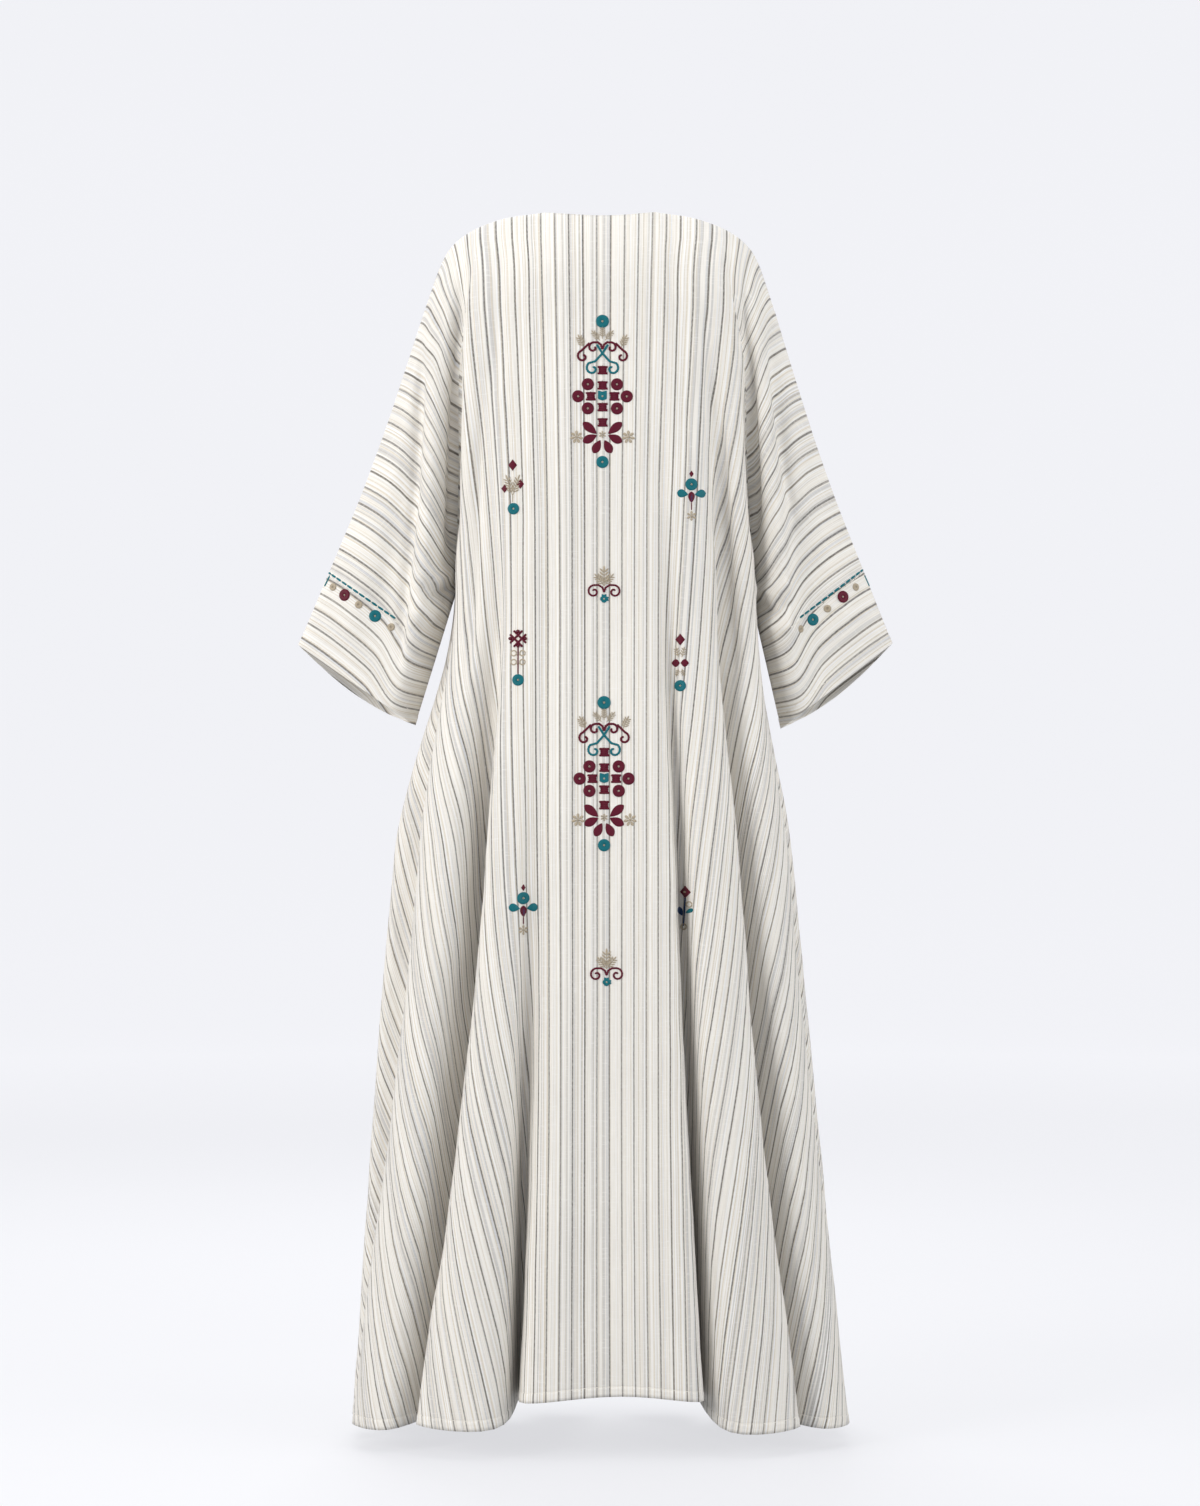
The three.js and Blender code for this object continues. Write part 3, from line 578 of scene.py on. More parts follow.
def make_panel_mesh(panel):
    body_numbers = body_grain(panel)
    grids = [(panel.body, body_numbers, None)]
    for side, grid in panel.sleeves.items():
        column = 0 if panel.is_front or side > 0 else -1
        grids.append((grid, sleeve_grain(panel, side, body_numbers[:, column, 0]), side))
    vertices, relief, index, faces, uvs = [], [], {}, [], []
    for grid, grain, sleeve in grids:
        rows, columns = grid.shape[:2]
        ids = np.zeros((rows, columns), int)
        if sleeve is None:
            up = np.concatenate([np.full(rows - len(HEM_ROWS), 99.0), [r - HEM for r in HEM_ROWS]])
            edge = np.repeat(up[:, None], columns, axis=1)
            if panel.is_front:
                run = along(grid, 1)
                edge = np.minimum(edge, run[:, -1:] - run)
        else:
            edge = np.abs(cuff_distance(grid[:, :, 0], grid[:, :, 2], sleeve))
            edge[:TOP_ROWS + len(UPPER_ROWS)] = 99
        bumps = turned_edge(edge)
        for r in range(rows):
            for c in range(columns):
                key = tuple(np.round(grid[r, c], 3) + 0.0)
                if key not in index:
                    index[key] = len(vertices)
                    vertices.append(grid[r, c])
                    relief.append(bumps[r, c])
                ids[r, c] = index[key]
        left_first = grid[-1, 0, 0] > grid[-1, -1, 0]
        if sleeve is not None:
            left_first = sleeve > 0
        flip = left_first == (panel.facing > 0)
        for r in range(rows - 1):
            for c in range(columns - 1):
                corners = [(r, c), (r, c + 1), (r + 1, c + 1), (r + 1, c)]
                if flip:
                    corners.reverse()
                face = [ids[k] for k in corners]
                if len(set(face)) == 4:
                    faces.append(face)
                    uvs.append([grain[k] for k in corners])
    return np.array(vertices), np.array(relief), faces, uvs


def point_normals(vertices, faces):
    quads = np.array(faces)
    normal = np.cross(vertices[quads[:, 2]] - vertices[quads[:, 0]],
                      vertices[quads[:, 3]] - vertices[quads[:, 1]])
    normal /= np.maximum(np.linalg.norm(normal, axis=1, keepdims=True), 1e-9)
    total = np.zeros_like(vertices)
    for k in range(4):
        np.add.at(total, quads[:, k], normal)
    return total / np.maximum(np.linalg.norm(total, axis=1, keepdims=True), 1e-9)


def make_cloth(panel, material):
    vertices, relief, faces, uvs = make_panel_mesh(panel)
    normals = point_normals(vertices, faces)
    push = relief + crease_push(vertices[:, 0], vertices[:, 2], panel.facing)
    ripple = np.array([noise.noise(Vector(v) / RIPPLE["size"]) for v in vertices])
    push += RIPPLE["height"] * ripple
    on_seam = np.abs(vertices[:, 1]) <= SEAM_GAP / 2 + 1e-6
    seam_fade = np.clip(np.abs(vertices[:, 1]) / SEAM_FADE, 0, 1)
    push = np.where(on_seam, relief, relief + (push - relief) * seam_fade)
    flat_normals = normals.copy()
    flat_normals[on_seam, 1] = 0
    flat_normals /= np.maximum(np.linalg.norm(flat_normals, axis=1, keepdims=True), 1e-9)
    vertices = vertices + flat_normals * push[:, None]
    mesh = bpy.data.meshes.new(panel.name + "_cloth")
    mesh.from_pydata((vertices * MM).tolist(), [], faces)
    layer = mesh.uv_layers.new(name="grain")
    layer.data.foreach_set("uv", np.array(uvs).reshape(-1))
    mesh.polygons.foreach_set("use_smooth", [True] * len(mesh.polygons))
    piece = bpy.data.objects.new(panel.name + "_cloth", mesh)
    bpy.context.scene.collection.objects.link(piece)
    mesh.materials.append(material)
    solid = piece.modifiers.new("thickness", "SOLIDIFY")
    solid.thickness = SHELL * MM
    solid.offset = -1
    solid.use_even_offset = False
    bpy.context.view_layer.objects.active = piece
    with bpy.context.temp_override(object=piece, active_object=piece, selected_objects=[piece]):
        bpy.ops.object.modifier_apply(modifier="thickness")
    tree = BVHTree.FromPolygons([Vector(v) for v in vertices], [list(f) for f in faces])
    return piece, tree


class Shading:
    """A material with one surface shader, and short ways to add the nodes behind it."""

    def __init__(self, name):
        self.material = bpy.data.materials.new(name)
        self.material.use_nodes = True
        self.tree = self.material.node_tree
        self.tree.nodes.clear()
        output = self.tree.nodes.new("ShaderNodeOutputMaterial")
        self.shader = self.tree.nodes.new("ShaderNodeBsdfPrincipled")
        self.tree.links.new(self.shader.outputs[0], output.inputs[0])

    def node(self, kind, values=(), **settings):
        made = self.tree.nodes.new("ShaderNode" + kind)
        for key, value in settings.items():
            setattr(made, key, value)
        for slot, value in values:
            if isinstance(value, bpy.types.NodeSocket):
                self.tree.links.new(value, made.inputs[slot])
            else:
                made.inputs[slot].default_value = value
        return made

    def math(self, operation, a, b=0.0, c=0.0):
        return self.node("Math", [(0, a), (1, b), (2, c)], operation=operation).outputs[0]

    def flat_place(self, x, y):
        return self.node("CombineXYZ", [(0, x), (1, y)]).outputs[0]

    def noise(self, place, scale, detail):
        values = [("Vector", place), ("Scale", scale), ("Detail", detail)]
        return self.node("TexNoise", values).outputs[0]

    def noise_across(self, place, scale, detail, roughness=0.5):
        values = [("W", place), ("Scale", scale), ("Detail", detail), ("Roughness", roughness)]
        return self.node("TexNoise", values, noise_dimensions="1D").outputs[0]

    def ranged(self, value, start, end, low, high, **settings):
        values = [(0, value), (1, start), (2, end), (3, low), (4, high)]
        return self.node("MapRange", values, **settings).outputs[0]

    def mix(self, share, first, second, blend="MIX"):
        values = [(0, share), (6, first), (7, second)]
        return self.node("Mix", values, data_type="RGBA", blend_type=blend).outputs[2]

    def set(self, **uniform):
        for key, value in uniform.items():
            self.shader.inputs[key.replace("_", " ")].default_value = value

    def drive(self, key, socket):
        self.tree.links.new(socket, self.shader.inputs[key])

    def bump(self, height, strength, distance):
        values = [("Height", height), ("Strength", strength), ("Distance", distance)]
        self.drive("Normal", self.node("Bump", values).outputs[0])


# Colours of the cloth's threads, and half of a dark stripe as a share of the distance between two
SAND = (0.72, 0.655, 0.55, 1)
CREAM = (0.85, 0.81, 0.735, 1)
IVORY = (0.885, 0.86, 0.81, 1)
CHALK = (0.92, 0.91, 0.89, 1)
SLUB = (0.90, 0.885, 0.85, 1)
COOL = (0.70, 0.71, 0.745, 1)
DARK_STRIPE = (0.10, 0.088, 0.075, 1)
STRIPE_HALF = 0.066
WARP_THREADS = 34         # threads of the warp from one dark stripe to the next
WEFT_THREADS = 2000       # threads of the weft to a metre


def linen_material():
    look = Shading("striped_linen")
    math_of = look.math
    split = look.node("SeparateXYZ", [(0, look.node("UVMap", uv_map="grain").outputs[0])])
    across, down = split.outputs[0], split.outputs[1]

    # Fine warp lines from sand to white, wandering a little, and cool ones in some bands
    wander = look.noise(look.flat_place(across, math_of("MULTIPLY", down, 3.0)), 1.4, 2.0)
    run = math_of("ADD", across, math_of("MULTIPLY", math_of("SUBTRACT", wander, 0.5), 0.05))
    fine = look.noise_across(math_of("MULTIPLY", run, 6.5), 1.0, 2.0, 0.7)
    ramp = look.node("ValToRGB", [(0, fine)])
    stops = ramp.color_ramp.elements
    stops[0].position, stops[0].color = 0.37, SAND
    stops[1].position, stops[1].color = 0.66, CHALK
    for place, colour in ((0.45, CREAM), (0.60, IVORY)):
        stops.new(place).color = colour
    lines = look.noise_across(math_of("MULTIPLY", run, 3.4), 1.0, 1.0)
    bands = look.noise_across(run, 0.5, 0.0)
    cool_share = math_of("MULTIPLY", look.ranged(lines, 0.46, 0.62, 0.12, 1.0),
                         look.ranged(bands, 0.42, 0.6, 0.22, 0.95))
    cooled = look.mix(cool_share, ramp.outputs[0], COOL, "MULTIPLY")

    # Short pale slubs of the weft, and the thread-by-thread unevenness of the warp
    weft = look.flat_place(math_of("MULTIPLY", across, 1.2), math_of("MULTIPLY", down, 620.0))
    slub = look.noise(weft, 1.0, 3.0)
    slubbed = look.mix(look.ranged(slub, 0.54, 0.72, 0.0, 0.42), cooled, SLUB)
    warp = look.flat_place(math_of("MULTIPLY", across, WARP_THREADS), math_of("MULTIPLY", down, 26.0))
    uneven = look.noise(warp, 1.0, 2.0)
    warped = look.mix(1.0, slubbed, look.ranged(uneven, 0.3, 0.7, 0.90, 1.05), "MULTIPLY")

    # The dark stripes, each a little different and worn paler in places
    line = look.ranged(math_of("PINGPONG", run, 0.5), STRIPE_HALF * 0.55, STRIPE_HALF * 1.3, 1.0, 0.0,
                       interpolation_type="SMOOTHSTEP")
    number = math_of("FLOOR", math_of("ADD", run, 0.5))
    own = look.node("TexWhiteNoise", [("W", number)], noise_dimensions="1D").outputs[0]
    strength = math_of("MULTIPLY_ADD", own, 0.24, 0.72)
    flecks = look.flat_place(math_of("MULTIPLY", across, 14.0), math_of("MULTIPLY", down, 260.0))
    worn = look.ranged(look.noise(flecks, 1.0, 2.0), 0.35, 0.6, 0.72, 1.0)
    stripe = math_of("MULTIPLY", math_of("MULTIPLY", line, strength), worn)
    look.drive("Base Color", look.mix(stripe, warped, DARK_STRIPE))

    # Plain weave: warp and weft threads about half a millimetre apart, as bump
    weave = math_of("MULTIPLY", math_of("SINE", math_of("MULTIPLY", across, 2 * math.pi * WARP_THREADS)),
                    math_of("SINE", math_of("MULTIPLY", down, 2 * math.pi * WEFT_THREADS)))
    threads = math_of("ADD", uneven, math_of("MULTIPLY", slub, 1.2))
    look.bump(math_of("ADD", math_of("MULTIPLY", weave, 0.35), threads), 0.35, 0.0004)
    look.set(Roughness=0.88, Specular_IOR_Level=0.18, Sheen_Weight=0.18, Sheen_Roughness=0.45)
    return look.material


def thread_material(name, colour, deep):
    look = Shading(name)
    place = look.node("TexCoord").outputs["Object"]
    patches, fibres = look.noise(place, 900.0, 2.0), look.noise(place, 4200.0, 1.0)
    look.drive("Base Color", look.mix(patches, (*deep, 1), (*colour, 1)))
    look.bump(fibres, 0.4, 0.0002)
    look.set(Roughness=0.5, Specular_IOR_Level=0.16, Sheen_Weight=0.04)
    return look.material


THREADS = {
    "teal": thread_material("teal_thread", (0.005, 0.17, 0.20), (0.003, 0.09, 0.115)),
    "maroon": thread_material("maroon_thread", (0.125, 0.004, 0.022), (0.065, 0.0025, 0.011)),
    "sand": thread_material("sand_thread", (0.50, 0.43, 0.325), (0.33, 0.27, 0.19)),
    "navy": thread_material("navy_thread", (0.02, 0.055, 0.15), (0.01, 0.03, 0.09)),
    "seam": thread_material("seam_thread", (0.86, 0.83, 0.76), (0.70, 0.66, 0.58)),
}


class Stitchery:
    """Collects raised thread shapes of one colour, laid on the cloth."""

    def __init__(self):
        self.vertices = {key: [] for key in THREADS}
        self.faces = {key: [] for key in THREADS}

    def add(self, colour, points, faces):
        start = len(self.vertices[colour])
        self.vertices[colour] += points
        self.faces[colour] += [[start + i for i in face] for face in faces]

    def grid(self, colour, rows, closed=False):
        """Adds a grid of points; closed joins the last column to the first."""
        count = len(rows[0])
        points = [p for row in rows for p in row]
        faces = []
        for r in range(len(rows) - 1):
            for c in range(count if closed else count - 1):
                d = (c + 1) % count
                faces.append([r * count + c, r * count + d, (r + 1) * count + d, (r + 1) * count + c])
        self.add(colour, points, faces)

    def make_objects(self, name):
        for colour, material in THREADS.items():
            if not self.vertices[colour]:
                continue
            mesh = bpy.data.meshes.new(f"{name}_{colour}")
            mesh.from_pydata([list(Vector(p) * MM) for p in self.vertices[colour]], [], self.faces[colour])
            mesh.polygons.foreach_set("use_smooth", [True] * len(mesh.polygons))
            mesh.materials.append(material)
            piece = bpy.data.objects.new(f"{name}_{colour}", mesh)
            bpy.context.scene.collection.objects.link(piece)
            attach(piece, "root")


RAY_START = 400           # well outside the cloth


class Ground:
    """Lays flat drawings on the cloth: x to the right as seen from behind, y up."""

    def __init__(self, stitches, tree, facing, centre):
        self.stitches, self.tree, self.facing = stitches, tree, facing
        self.cx, self.cz = centre

    def __call__(self, x, y, height):
        world_x = self.cx - self.facing * x
        world_z = self.cz + y
        start = Vector((world_x, self.facing * RAY_START, world_z))
        hit, normal, _, _ = self.tree.ray_cast(start, Vector((0, -self.facing, 0)))
        if hit is None:
            hit, normal, _, _ = self.tree.find_nearest(Vector((world_x, self.facing * 100, world_z)))
        if normal.y * self.facing < 0:
            normal = -normal
        return tuple(hit + normal * height)


# Rings of a satin disc from its rim to its eye: share of the radius and height
DISC_RINGS = ((1.0, 0.1), (0.97, 0.75), (0.72, 1.15), (0.45, 1.05), (0.24, 0.7), (0.16, 0.15))
DISC_SPOKES, DISC_RELIEF = 40, 0.14


def satin_disc(ground, colour, x, y, radius):
    """A round of satin stitches lying outwards from a small eye with a bead."""
    rows = []
    for share, height in DISC_RINGS:
        ring = []
        for k in range(DISC_SPOKES):
            angle = 2 * math.pi * k / DISC_SPOKES + 0.12 * share
            lift = height + (DISC_RELIEF if k % 2 else -DISC_RELIEF) * (share > 0.2)
            ring.append(ground(x + radius * share * math.cos(angle),
                               y + radius * share * math.sin(angle), lift))
        rows.append(ring)
    ground.stitches.grid(colour, rows, closed=True)
    thread_line(ground, "navy", spiral(x, y, 0, radius * 0.3, 1, 1, 0.99, 16), 1.2)
    knot(ground, "sand", x, y, radius * 0.14)


def knot(ground, colour, x, y, radius):
    """A small round knot or seed bead."""
    rows = []
    for lift in (0.1, 0.5, 0.85, 1.0):
        wide = radius * math.sqrt(max(0.04, 1 - (lift - 0.3) ** 2))
        if lift == 1.0:
            wide *= 0.35
        rows.append([ground(x + wide * math.cos(a), y + wide * math.sin(a), lift * radius * 1.2)
                     for a in (2 * math.pi * k / 10 for k in range(10))])
    ground.stitches.grid(colour, rows, closed=True)


def satin_shape(ground, colour, x, y, length, width, turn, form="leaf", count=None):
    """A leaf, petal, drop, diamond or bar filled with satin stitches across it."""
    count = count or max(8, int(length / 0.9))
    c, s = math.cos(math.radians(turn)), math.sin(math.radians(turn))
    rows = []
    for i in range(count + 1):
        t = i / count
        half = {
            "leaf": math.sin(math.pi * t) ** 0.75,
            "drop": math.sin(math.pi * t ** 0.62) ** 0.9,
            "diamond": 1 - abs(2 * t - 1),
            "bar": 1.0 if 0.02 < t < 0.98 else 0.85,
        }[form] * width / 2 + 0.12
        ridge = 0.13 if i % 2 else -0.13
        row = []
        for k in range(7):
            v = 2 * k / 6 - 1
            px = (t - 0.5) * length + (0.0 if form == "diamond" else 0.35 * abs(v) * half)
            py = v * half
            lift = 0.12 + (0.85 + ridge) * math.sqrt(max(0.0, 1 - v * v))
            row.append(ground(x + px * c - py * s, y + px * s + py * c, lift))
        rows.append(row)
    ground.stitches.grid(colour, rows)


def thread_line(ground, colour, route, width, chain=2.6):
    """A line of chain stitch along a route of flat points."""
    route = np.array(route, float)
    steps = np.linalg.norm(np.diff(route, axis=0), axis=1)
    run = np.concatenate([[0], np.cumsum(steps)])
    count = max(4, int(run[-1] / 0.65))
    rows = []
    for i in range(count + 1):
        s = run[-1] * i / count
        px, py = np.interp(s, run, route[:, 0]), np.interp(s, run, route[:, 1])
        ahead, behind = min(run[-1], s + 0.4), max(0.0, s - 0.4)
        dx = np.interp(ahead, run, route[:, 0]) - np.interp(behind, run, route[:, 0])
        dy = np.interp(ahead, run, route[:, 1]) - np.interp(behind, run, route[:, 1])
        length = math.hypot(dx, dy) or 1.0
        nx, ny = -dy / length, dx / length
        swell = 0.80 + 0.20 * abs(math.sin(math.pi * s / chain))
        taper = min(1.0, min(s, run[-1] - s) + 0.4)
        half = width / 2 * swell * taper
        rows.append([ground(px + nx * half * v, py + ny * half * v,
                            0.1 + 0.9 * half * math.sqrt(max(0.0, 1 - v * v)))
                     for v in (-1, -0.7, -0.3, 0, 0.3, 0.7, 1)])
    ground.stitches.grid(colour, rows)


def spiral(x, y, start_angle, start_radius, turns, direction, end_share=0.16, points=40):
    """Points of a spiral that winds in round (x, y)."""
    route = []
    for i in range(points + 1):
        t = i / points
        radius = start_radius * (1 - (1 - end_share) * t)
        angle = math.radians(start_angle) + direction * 2 * math.pi * turns * t
        route.append((x + radius * math.cos(angle), y + radius * math.sin(angle)))
    return route


def sprig(ground, colour, x, y, height, turn, pairs=4, wide=1.0):
    """A leafy twig: a stem with paired leaves and one at the tip."""
    c, s = math.cos(math.radians(turn)), math.sin(math.radians(turn))
    leaf = height * 0.33 * wide
    tip_x, tip_y = x + height * c, y + height * s
    thread_line(ground, colour, [(x, y), (tip_x, tip_y)], 1.0)
    for k in range(pairs):
        t = 0.2 + 0.58 * k / max(1, pairs - 1)
        for lean in (46, -46):
            a = math.radians(turn + lean)
            reach = leaf * (0.62 - 0.12 * t)
            satin_shape(ground, colour, x + height * t * c + reach * math.cos(a),
                        y + height * t * s + reach * math.sin(a), leaf * (1.1 - 0.3 * t), leaf * 0.24,
                        turn + lean, "leaf", 7)
    satin_shape(ground, colour, tip_x, tip_y, leaf * 1.1, leaf * 0.28, turn, "leaf", 7)


def rosette(ground, colour, x, y, radius, leaves=7):
    """A round of small pointed leaves about a knot."""
    for k in range(leaves):
        turn = 90 + 360 * k / leaves
        a = math.radians(turn)
        satin_shape(ground, colour, x + radius * 0.62 * math.cos(a),
                    y + radius * 0.62 * math.sin(a), radius * 0.78, radius * 0.42, turn, "leaf", 8)
    knot(ground, colour, x, y, radius * 0.2)


def cross_stitch(ground, colour, x, y, size):
    """A small block of laid bars with a narrow waist, tied down the middle."""
    for level, wide in ((-0.42, 1.3), (-0.14, 1.04), (0.14, 1.04), (0.42, 1.3)):
        satin_shape(ground, colour, x, y + size * level, size * wide, size * 0.27, 0, "bar")
    satin_shape(ground, colour, x, y, size * 1.25, size * 0.3, 90, "leaf")


def medallion(ground):
    """The tall motif of the centre back: scrolls, rounds, blocks and an open flower."""
    satin_disc(ground, "teal", 0, 95, 8.2)
    sprig(ground, "sand", 0, 73, 14, 90, 4)
    for side in (-1, 1):
        sprig(ground, "sand", side * 3, 71, 14, 90 - side * 40, 4)
        sprig(ground, "sand", side * 23, 62, 15, 90 - side * 24, 4, 1.2)
        thread_line(ground, "maroon",
                    [(0, 60), (side * 2, 66), (side * 6, 69)]
                    + spiral(side * 11, 62, 115 if side > 0 else 65, 7.2, 0.95, -side), 3.0)
        thread_line(ground, "maroon",
                    [(side * 16, 68), (side * 22, 62)]
                    + spiral(side * 24, 51, 75 if side > 0 else 105, 7.6, 0.98, -side), 3.0)
        thread_line(ground, "teal",
                    [(-side * 7, 66), (0, 55), (side * 9, 45)]
                    + spiral(side * 12, 36, 55 if side > 0 else 125, 8.4, 0.92, -side), 3.0)
        for dx, dy in ((18, 16.5), (30, 1.5), (18, -13.5)):
            satin_disc(ground, "maroon", side * dx, dy, 7.6)
        cross_stitch(ground, "maroon", side * 14.5, 1.5, 9.5)
        for x, y, turn, length in ((15.6, 8.0, 40, 22), (15.6, -5.0, -26, 19), (6.8, -15.0, -62, 18)):
            satin_shape(ground, "maroon", side * x, y - 46, length, 10.4,
                        turn if side > 0 else 180 - turn, "leaf")
        rosette(ground, "sand", side * 32, -49, 8.0)
    for y in (34, 15, -12, -31):
        cross_stitch(ground, "maroon", 0, y, 9.5)
    satin_shape(ground, "teal", 0, 1.5, 11, 11, 90, "bar")
    knot(ground, "sand", 0, 1.5, 1.3)
    rosette(ground, "sand", 0, -46, 4.5, 6)
    satin_disc(ground, "teal", 0, -80, 7.6)


def ram_horns(ground):
    """The small centre motif: a leafy tip over two scrolls and a block."""
    for turn, reach in ((90, 21), (128, 16), (52, 16)):
        sprig(ground, "sand", 0, 6, reach, turn, 4, 1.1)
    for side in (-1, 1):
        thread_line(ground, "maroon",
                    [(0, -2), (side * 2, 4), (side * 7, 7)]
                    + spiral(side * 12.5, -1, 105 if side > 0 else 75, 8.2, 1.2, -side), 2.6)
    satin_shape(ground, "teal", 0, -10, 10, 6, 90, "bar")
    satin_shape(ground, "teal", 0, -10, 10, 5, 0, "bar")
    knot(ground, "sand", 0, -10, 1.2)


def tassel_motif(ground):
    """Three diamonds round a leafy twig over a hanging round."""
    satin_shape(ground, "maroon", 0, 26, 14, 11, 90, "diamond")
    satin_shape(ground, "maroon", -10, -3, 10, 8.5, 90, "diamond")
    satin_shape(ground, "maroon", 9.5, 2.5, 11.5, 9.5, 90, "diamond")
    for turn in (72, 108):
        sprig(ground, "sand", 0, -12, 24, turn, 5, 0.8)
    thread_line(ground, "sand", [(0, -12), (0, -20)], 1.2)
    satin_disc(ground, "teal", 1, -28, 7.2)


def bird_flower(ground):
    """A teal round with two leaves over a drop and a rosette."""
    satin_shape(ground, "maroon", 0, 27, 8, 5.5, 90, "diamond")
    satin_disc(ground, "teal", 0, 14, 7.6)
    for side in (-1, 1):
        satin_shape(ground, "teal", side * 11, 2.5, 13.5, 10, 90 - side * 80, "leaf")
    satin_shape(ground, "maroon", 0, -2, 14, 8, 90, "leaf")
    satin_shape(ground, "navy", 0, -3, 9, 4.5, 90, "leaf")
    thread_line(ground, "maroon", [(0, -9), (0, -18)], 1.4)
    rosette(ground, "sand", 0, -25, 6.0, 6)


def lattice_drop(ground):
    """A lattice of loops on a stem with rings and a hanging round."""
    for turn in (45, -45):
        c, s = math.cos(math.radians(turn)), math.sin(math.radians(turn))
        for offset in (-3.2, 3.2):
            x0, y0 = -s * offset, 20 + c * offset
            route = [(x0 - 11 * c, y0 - 11 * s), (x0 + 11 * c, y0 + 11 * s)]
            thread_line(ground, "maroon", route, 3.0)
    for dx, dy in ((0, 9), (0, -9), (9, 0), (-9, 0)):
        knot(ground, "maroon", dx, 20 + dy, 2.2)
    thread_line(ground, "maroon", [(0, 10), (0, -24)], 1.8)
    for side in (-1, 1):
        for y in (2, -9):
            thread_line(ground, "sand", spiral(side * 5.4, y, 0, 3.4, 1.0, 1, 0.95, 20), 1.7)
            thread_line(ground, "sand", [(0, y - 3), (side * 3, y - 1)], 1.2)
    satin_disc(ground, "teal", 0, -31, 7.2)


def bow_drop(ground):
    """A diamond, a bow between leafy twigs and a hanging round."""
    satin_shape(ground, "maroon", 0, 25, 14.5, 12, 90, "diamond")
    for side in (-1, 1):
        sprig(ground, "sand", side * 2, 3, 11, 90 - side * 14, 3, 1.2)
        sprig(ground, "sand", side * 2, -11, 8, -90 + side * 16, 3, 1.2)
        satin_shape(ground, "maroon", side * 5.5, -4, 10, 9.5, 0 if side > 0 else 180, "drop")
    satin_disc(ground, "teal", 0, -32, 7.0)


def stem_flower(ground):
    """A diamond flower on a stem with leaves."""
    satin_shape(ground, "maroon", 0, 22, 15, 13, 90, "diamond")
    knot(ground, "sand", 0, 22, 1.4)
    thread_line(ground, "navy", [(0, 15), (-1, -6), (-2, -20)], 1.8)
    satin_shape(ground, "navy", -6, -2, 12, 6.5, 115, "leaf")
    satin_shape(ground, "teal", 5, -1, 10, 5, 35, "leaf")
    thread_line(ground, "sand", spiral(4.5, 7, 0, 3.4, 1.0, 1, 0.95, 20), 1.7)
    thread_line(ground, "sand", spiral(-2, -21, 0, 3.4, 1.0, 1, 0.95, 20), 1.9)


# Where each motif lies on the back, in millimetres: x to the wearer's left, z from the neck
MOTIFS = [
    (medallion, -3, -241), (medallion, -5, -713),
    (ram_horns, -5, -480), (ram_horns, -8, -950),
    (tassel_motif, 108, -350), (bird_flower, -113, -362),
    (lattice_drop, 101, -559), (bow_drop, -99, -565),
    (bird_flower, 94, -872), (stem_flower, -105, -873),
]

# The cuffs' band: two rows of running stitch and a row of rounds, by distance above the edge;
# where the teal row ends, and the rounds' colours and places along the cuff
CUFF_BAND = {"teal": 96.8, "pale": 94.0, "rounds": 85.0, "stitch": 8.0, "gap": 1.6, "width": 2.8}
BAND_END = 122
ROUND_SIZE = {"sand": 4.8, "maroon": 7.6, "teal": 7.6}
LINE_BEFORE, LINE_AFTER = 90, 60   # how far past its two edges a sleeve is searched for cloth
LINE_BREAK = 12           # a longer step than this has left the sleeve
CUFF_ROUNDS = {1: [("sand", 17), ("maroon", 37), ("sand", 60), ("teal", 85), ("sand", 110)],
               -1: [("sand", 27), ("maroon", 50), ("sand", 75), ("teal", 98), ("sand", 120)]}


def cuff_line(tree, facing, side, above):
    """Points round one half of a sleeve at a distance above the cuff's edge, from its outer edge."""
    (ox, oz), (ix, iz) = CUFFS[side]["outer"], CUFFS[side]["inner"]
    ox, ix = ox * side, ix * side
    length = math.hypot(ix - ox, iz - oz)
    ux, uz = (ix - ox) / length, (iz - oz) / length
    nx, nz = (-uz, ux) if side < 0 else (uz, -ux)
    if nz < 0:
        nx, nz = -nx, -nz
    found = []
    for k in range(-LINE_BEFORE, int(length) + LINE_AFTER):
        x = ox + ux * k + nx * above
        z = oz + uz * k + nz * above
        start = Vector((x, facing * RAY_START, z))
        hit, normal, _, _ = tree.ray_cast(start, Vector((0, -facing, 0)))
        if hit is None or hit.y * facing < 0:
            continue
        if normal.y * facing < 0:
            normal = -normal
        if found and (hit - found[-1][0]).length > LINE_BREAK:
            break
        found.append((hit, normal))
    return found


def run_along(found):
    steps = [0.0]
    for (a, _), (b, _) in zip(found, found[1:]):
        steps.append(steps[-1] + (b - a).length)
    return steps


def at_run(found, run, s):
    i = min(max(np.searchsorted(run, s) - 1, 0), len(found) - 2)
    t = min(max((s - run[i]) / max(run[i + 1] - run[i], 1e-6), 0), 1)
    point = found[i][0].lerp(found[i + 1][0], t)
    normal = found[i][1].lerp(found[i + 1][1], t).normalized()
    forward = (found[i + 1][0] - found[i][0]).normalized()
    return point, normal, forward


def running_stitch(stitches, colour, found, stitch, gap, width, start=2.0, end=math.inf):
    """Short raised threads laid end to end along a line on the cloth."""
    if len(found) < 3:
        return
    run = run_along(found)
    s = start
    while s + stitch < min(end, run[-1]) - 1:
        rows = []
        for i in range(5):
            t = i / 4
            point, normal, forward = at_run(found, run, s + stitch * t)
            across = forward.cross(normal).normalized()
            full = math.sin(math.pi * (0.12 + 0.76 * t)) ** 0.4
            ring = []
            for k in range(5):
                a = math.pi * k / 4
                ring.append(tuple(point + across * (math.cos(a) * width / 2 * full)
                                  + normal * (0.05 + math.sin(a) * width * 0.42 * full)))
            rows.append(ring)
        stitches.grid(colour, rows)
        s += stitch + gap


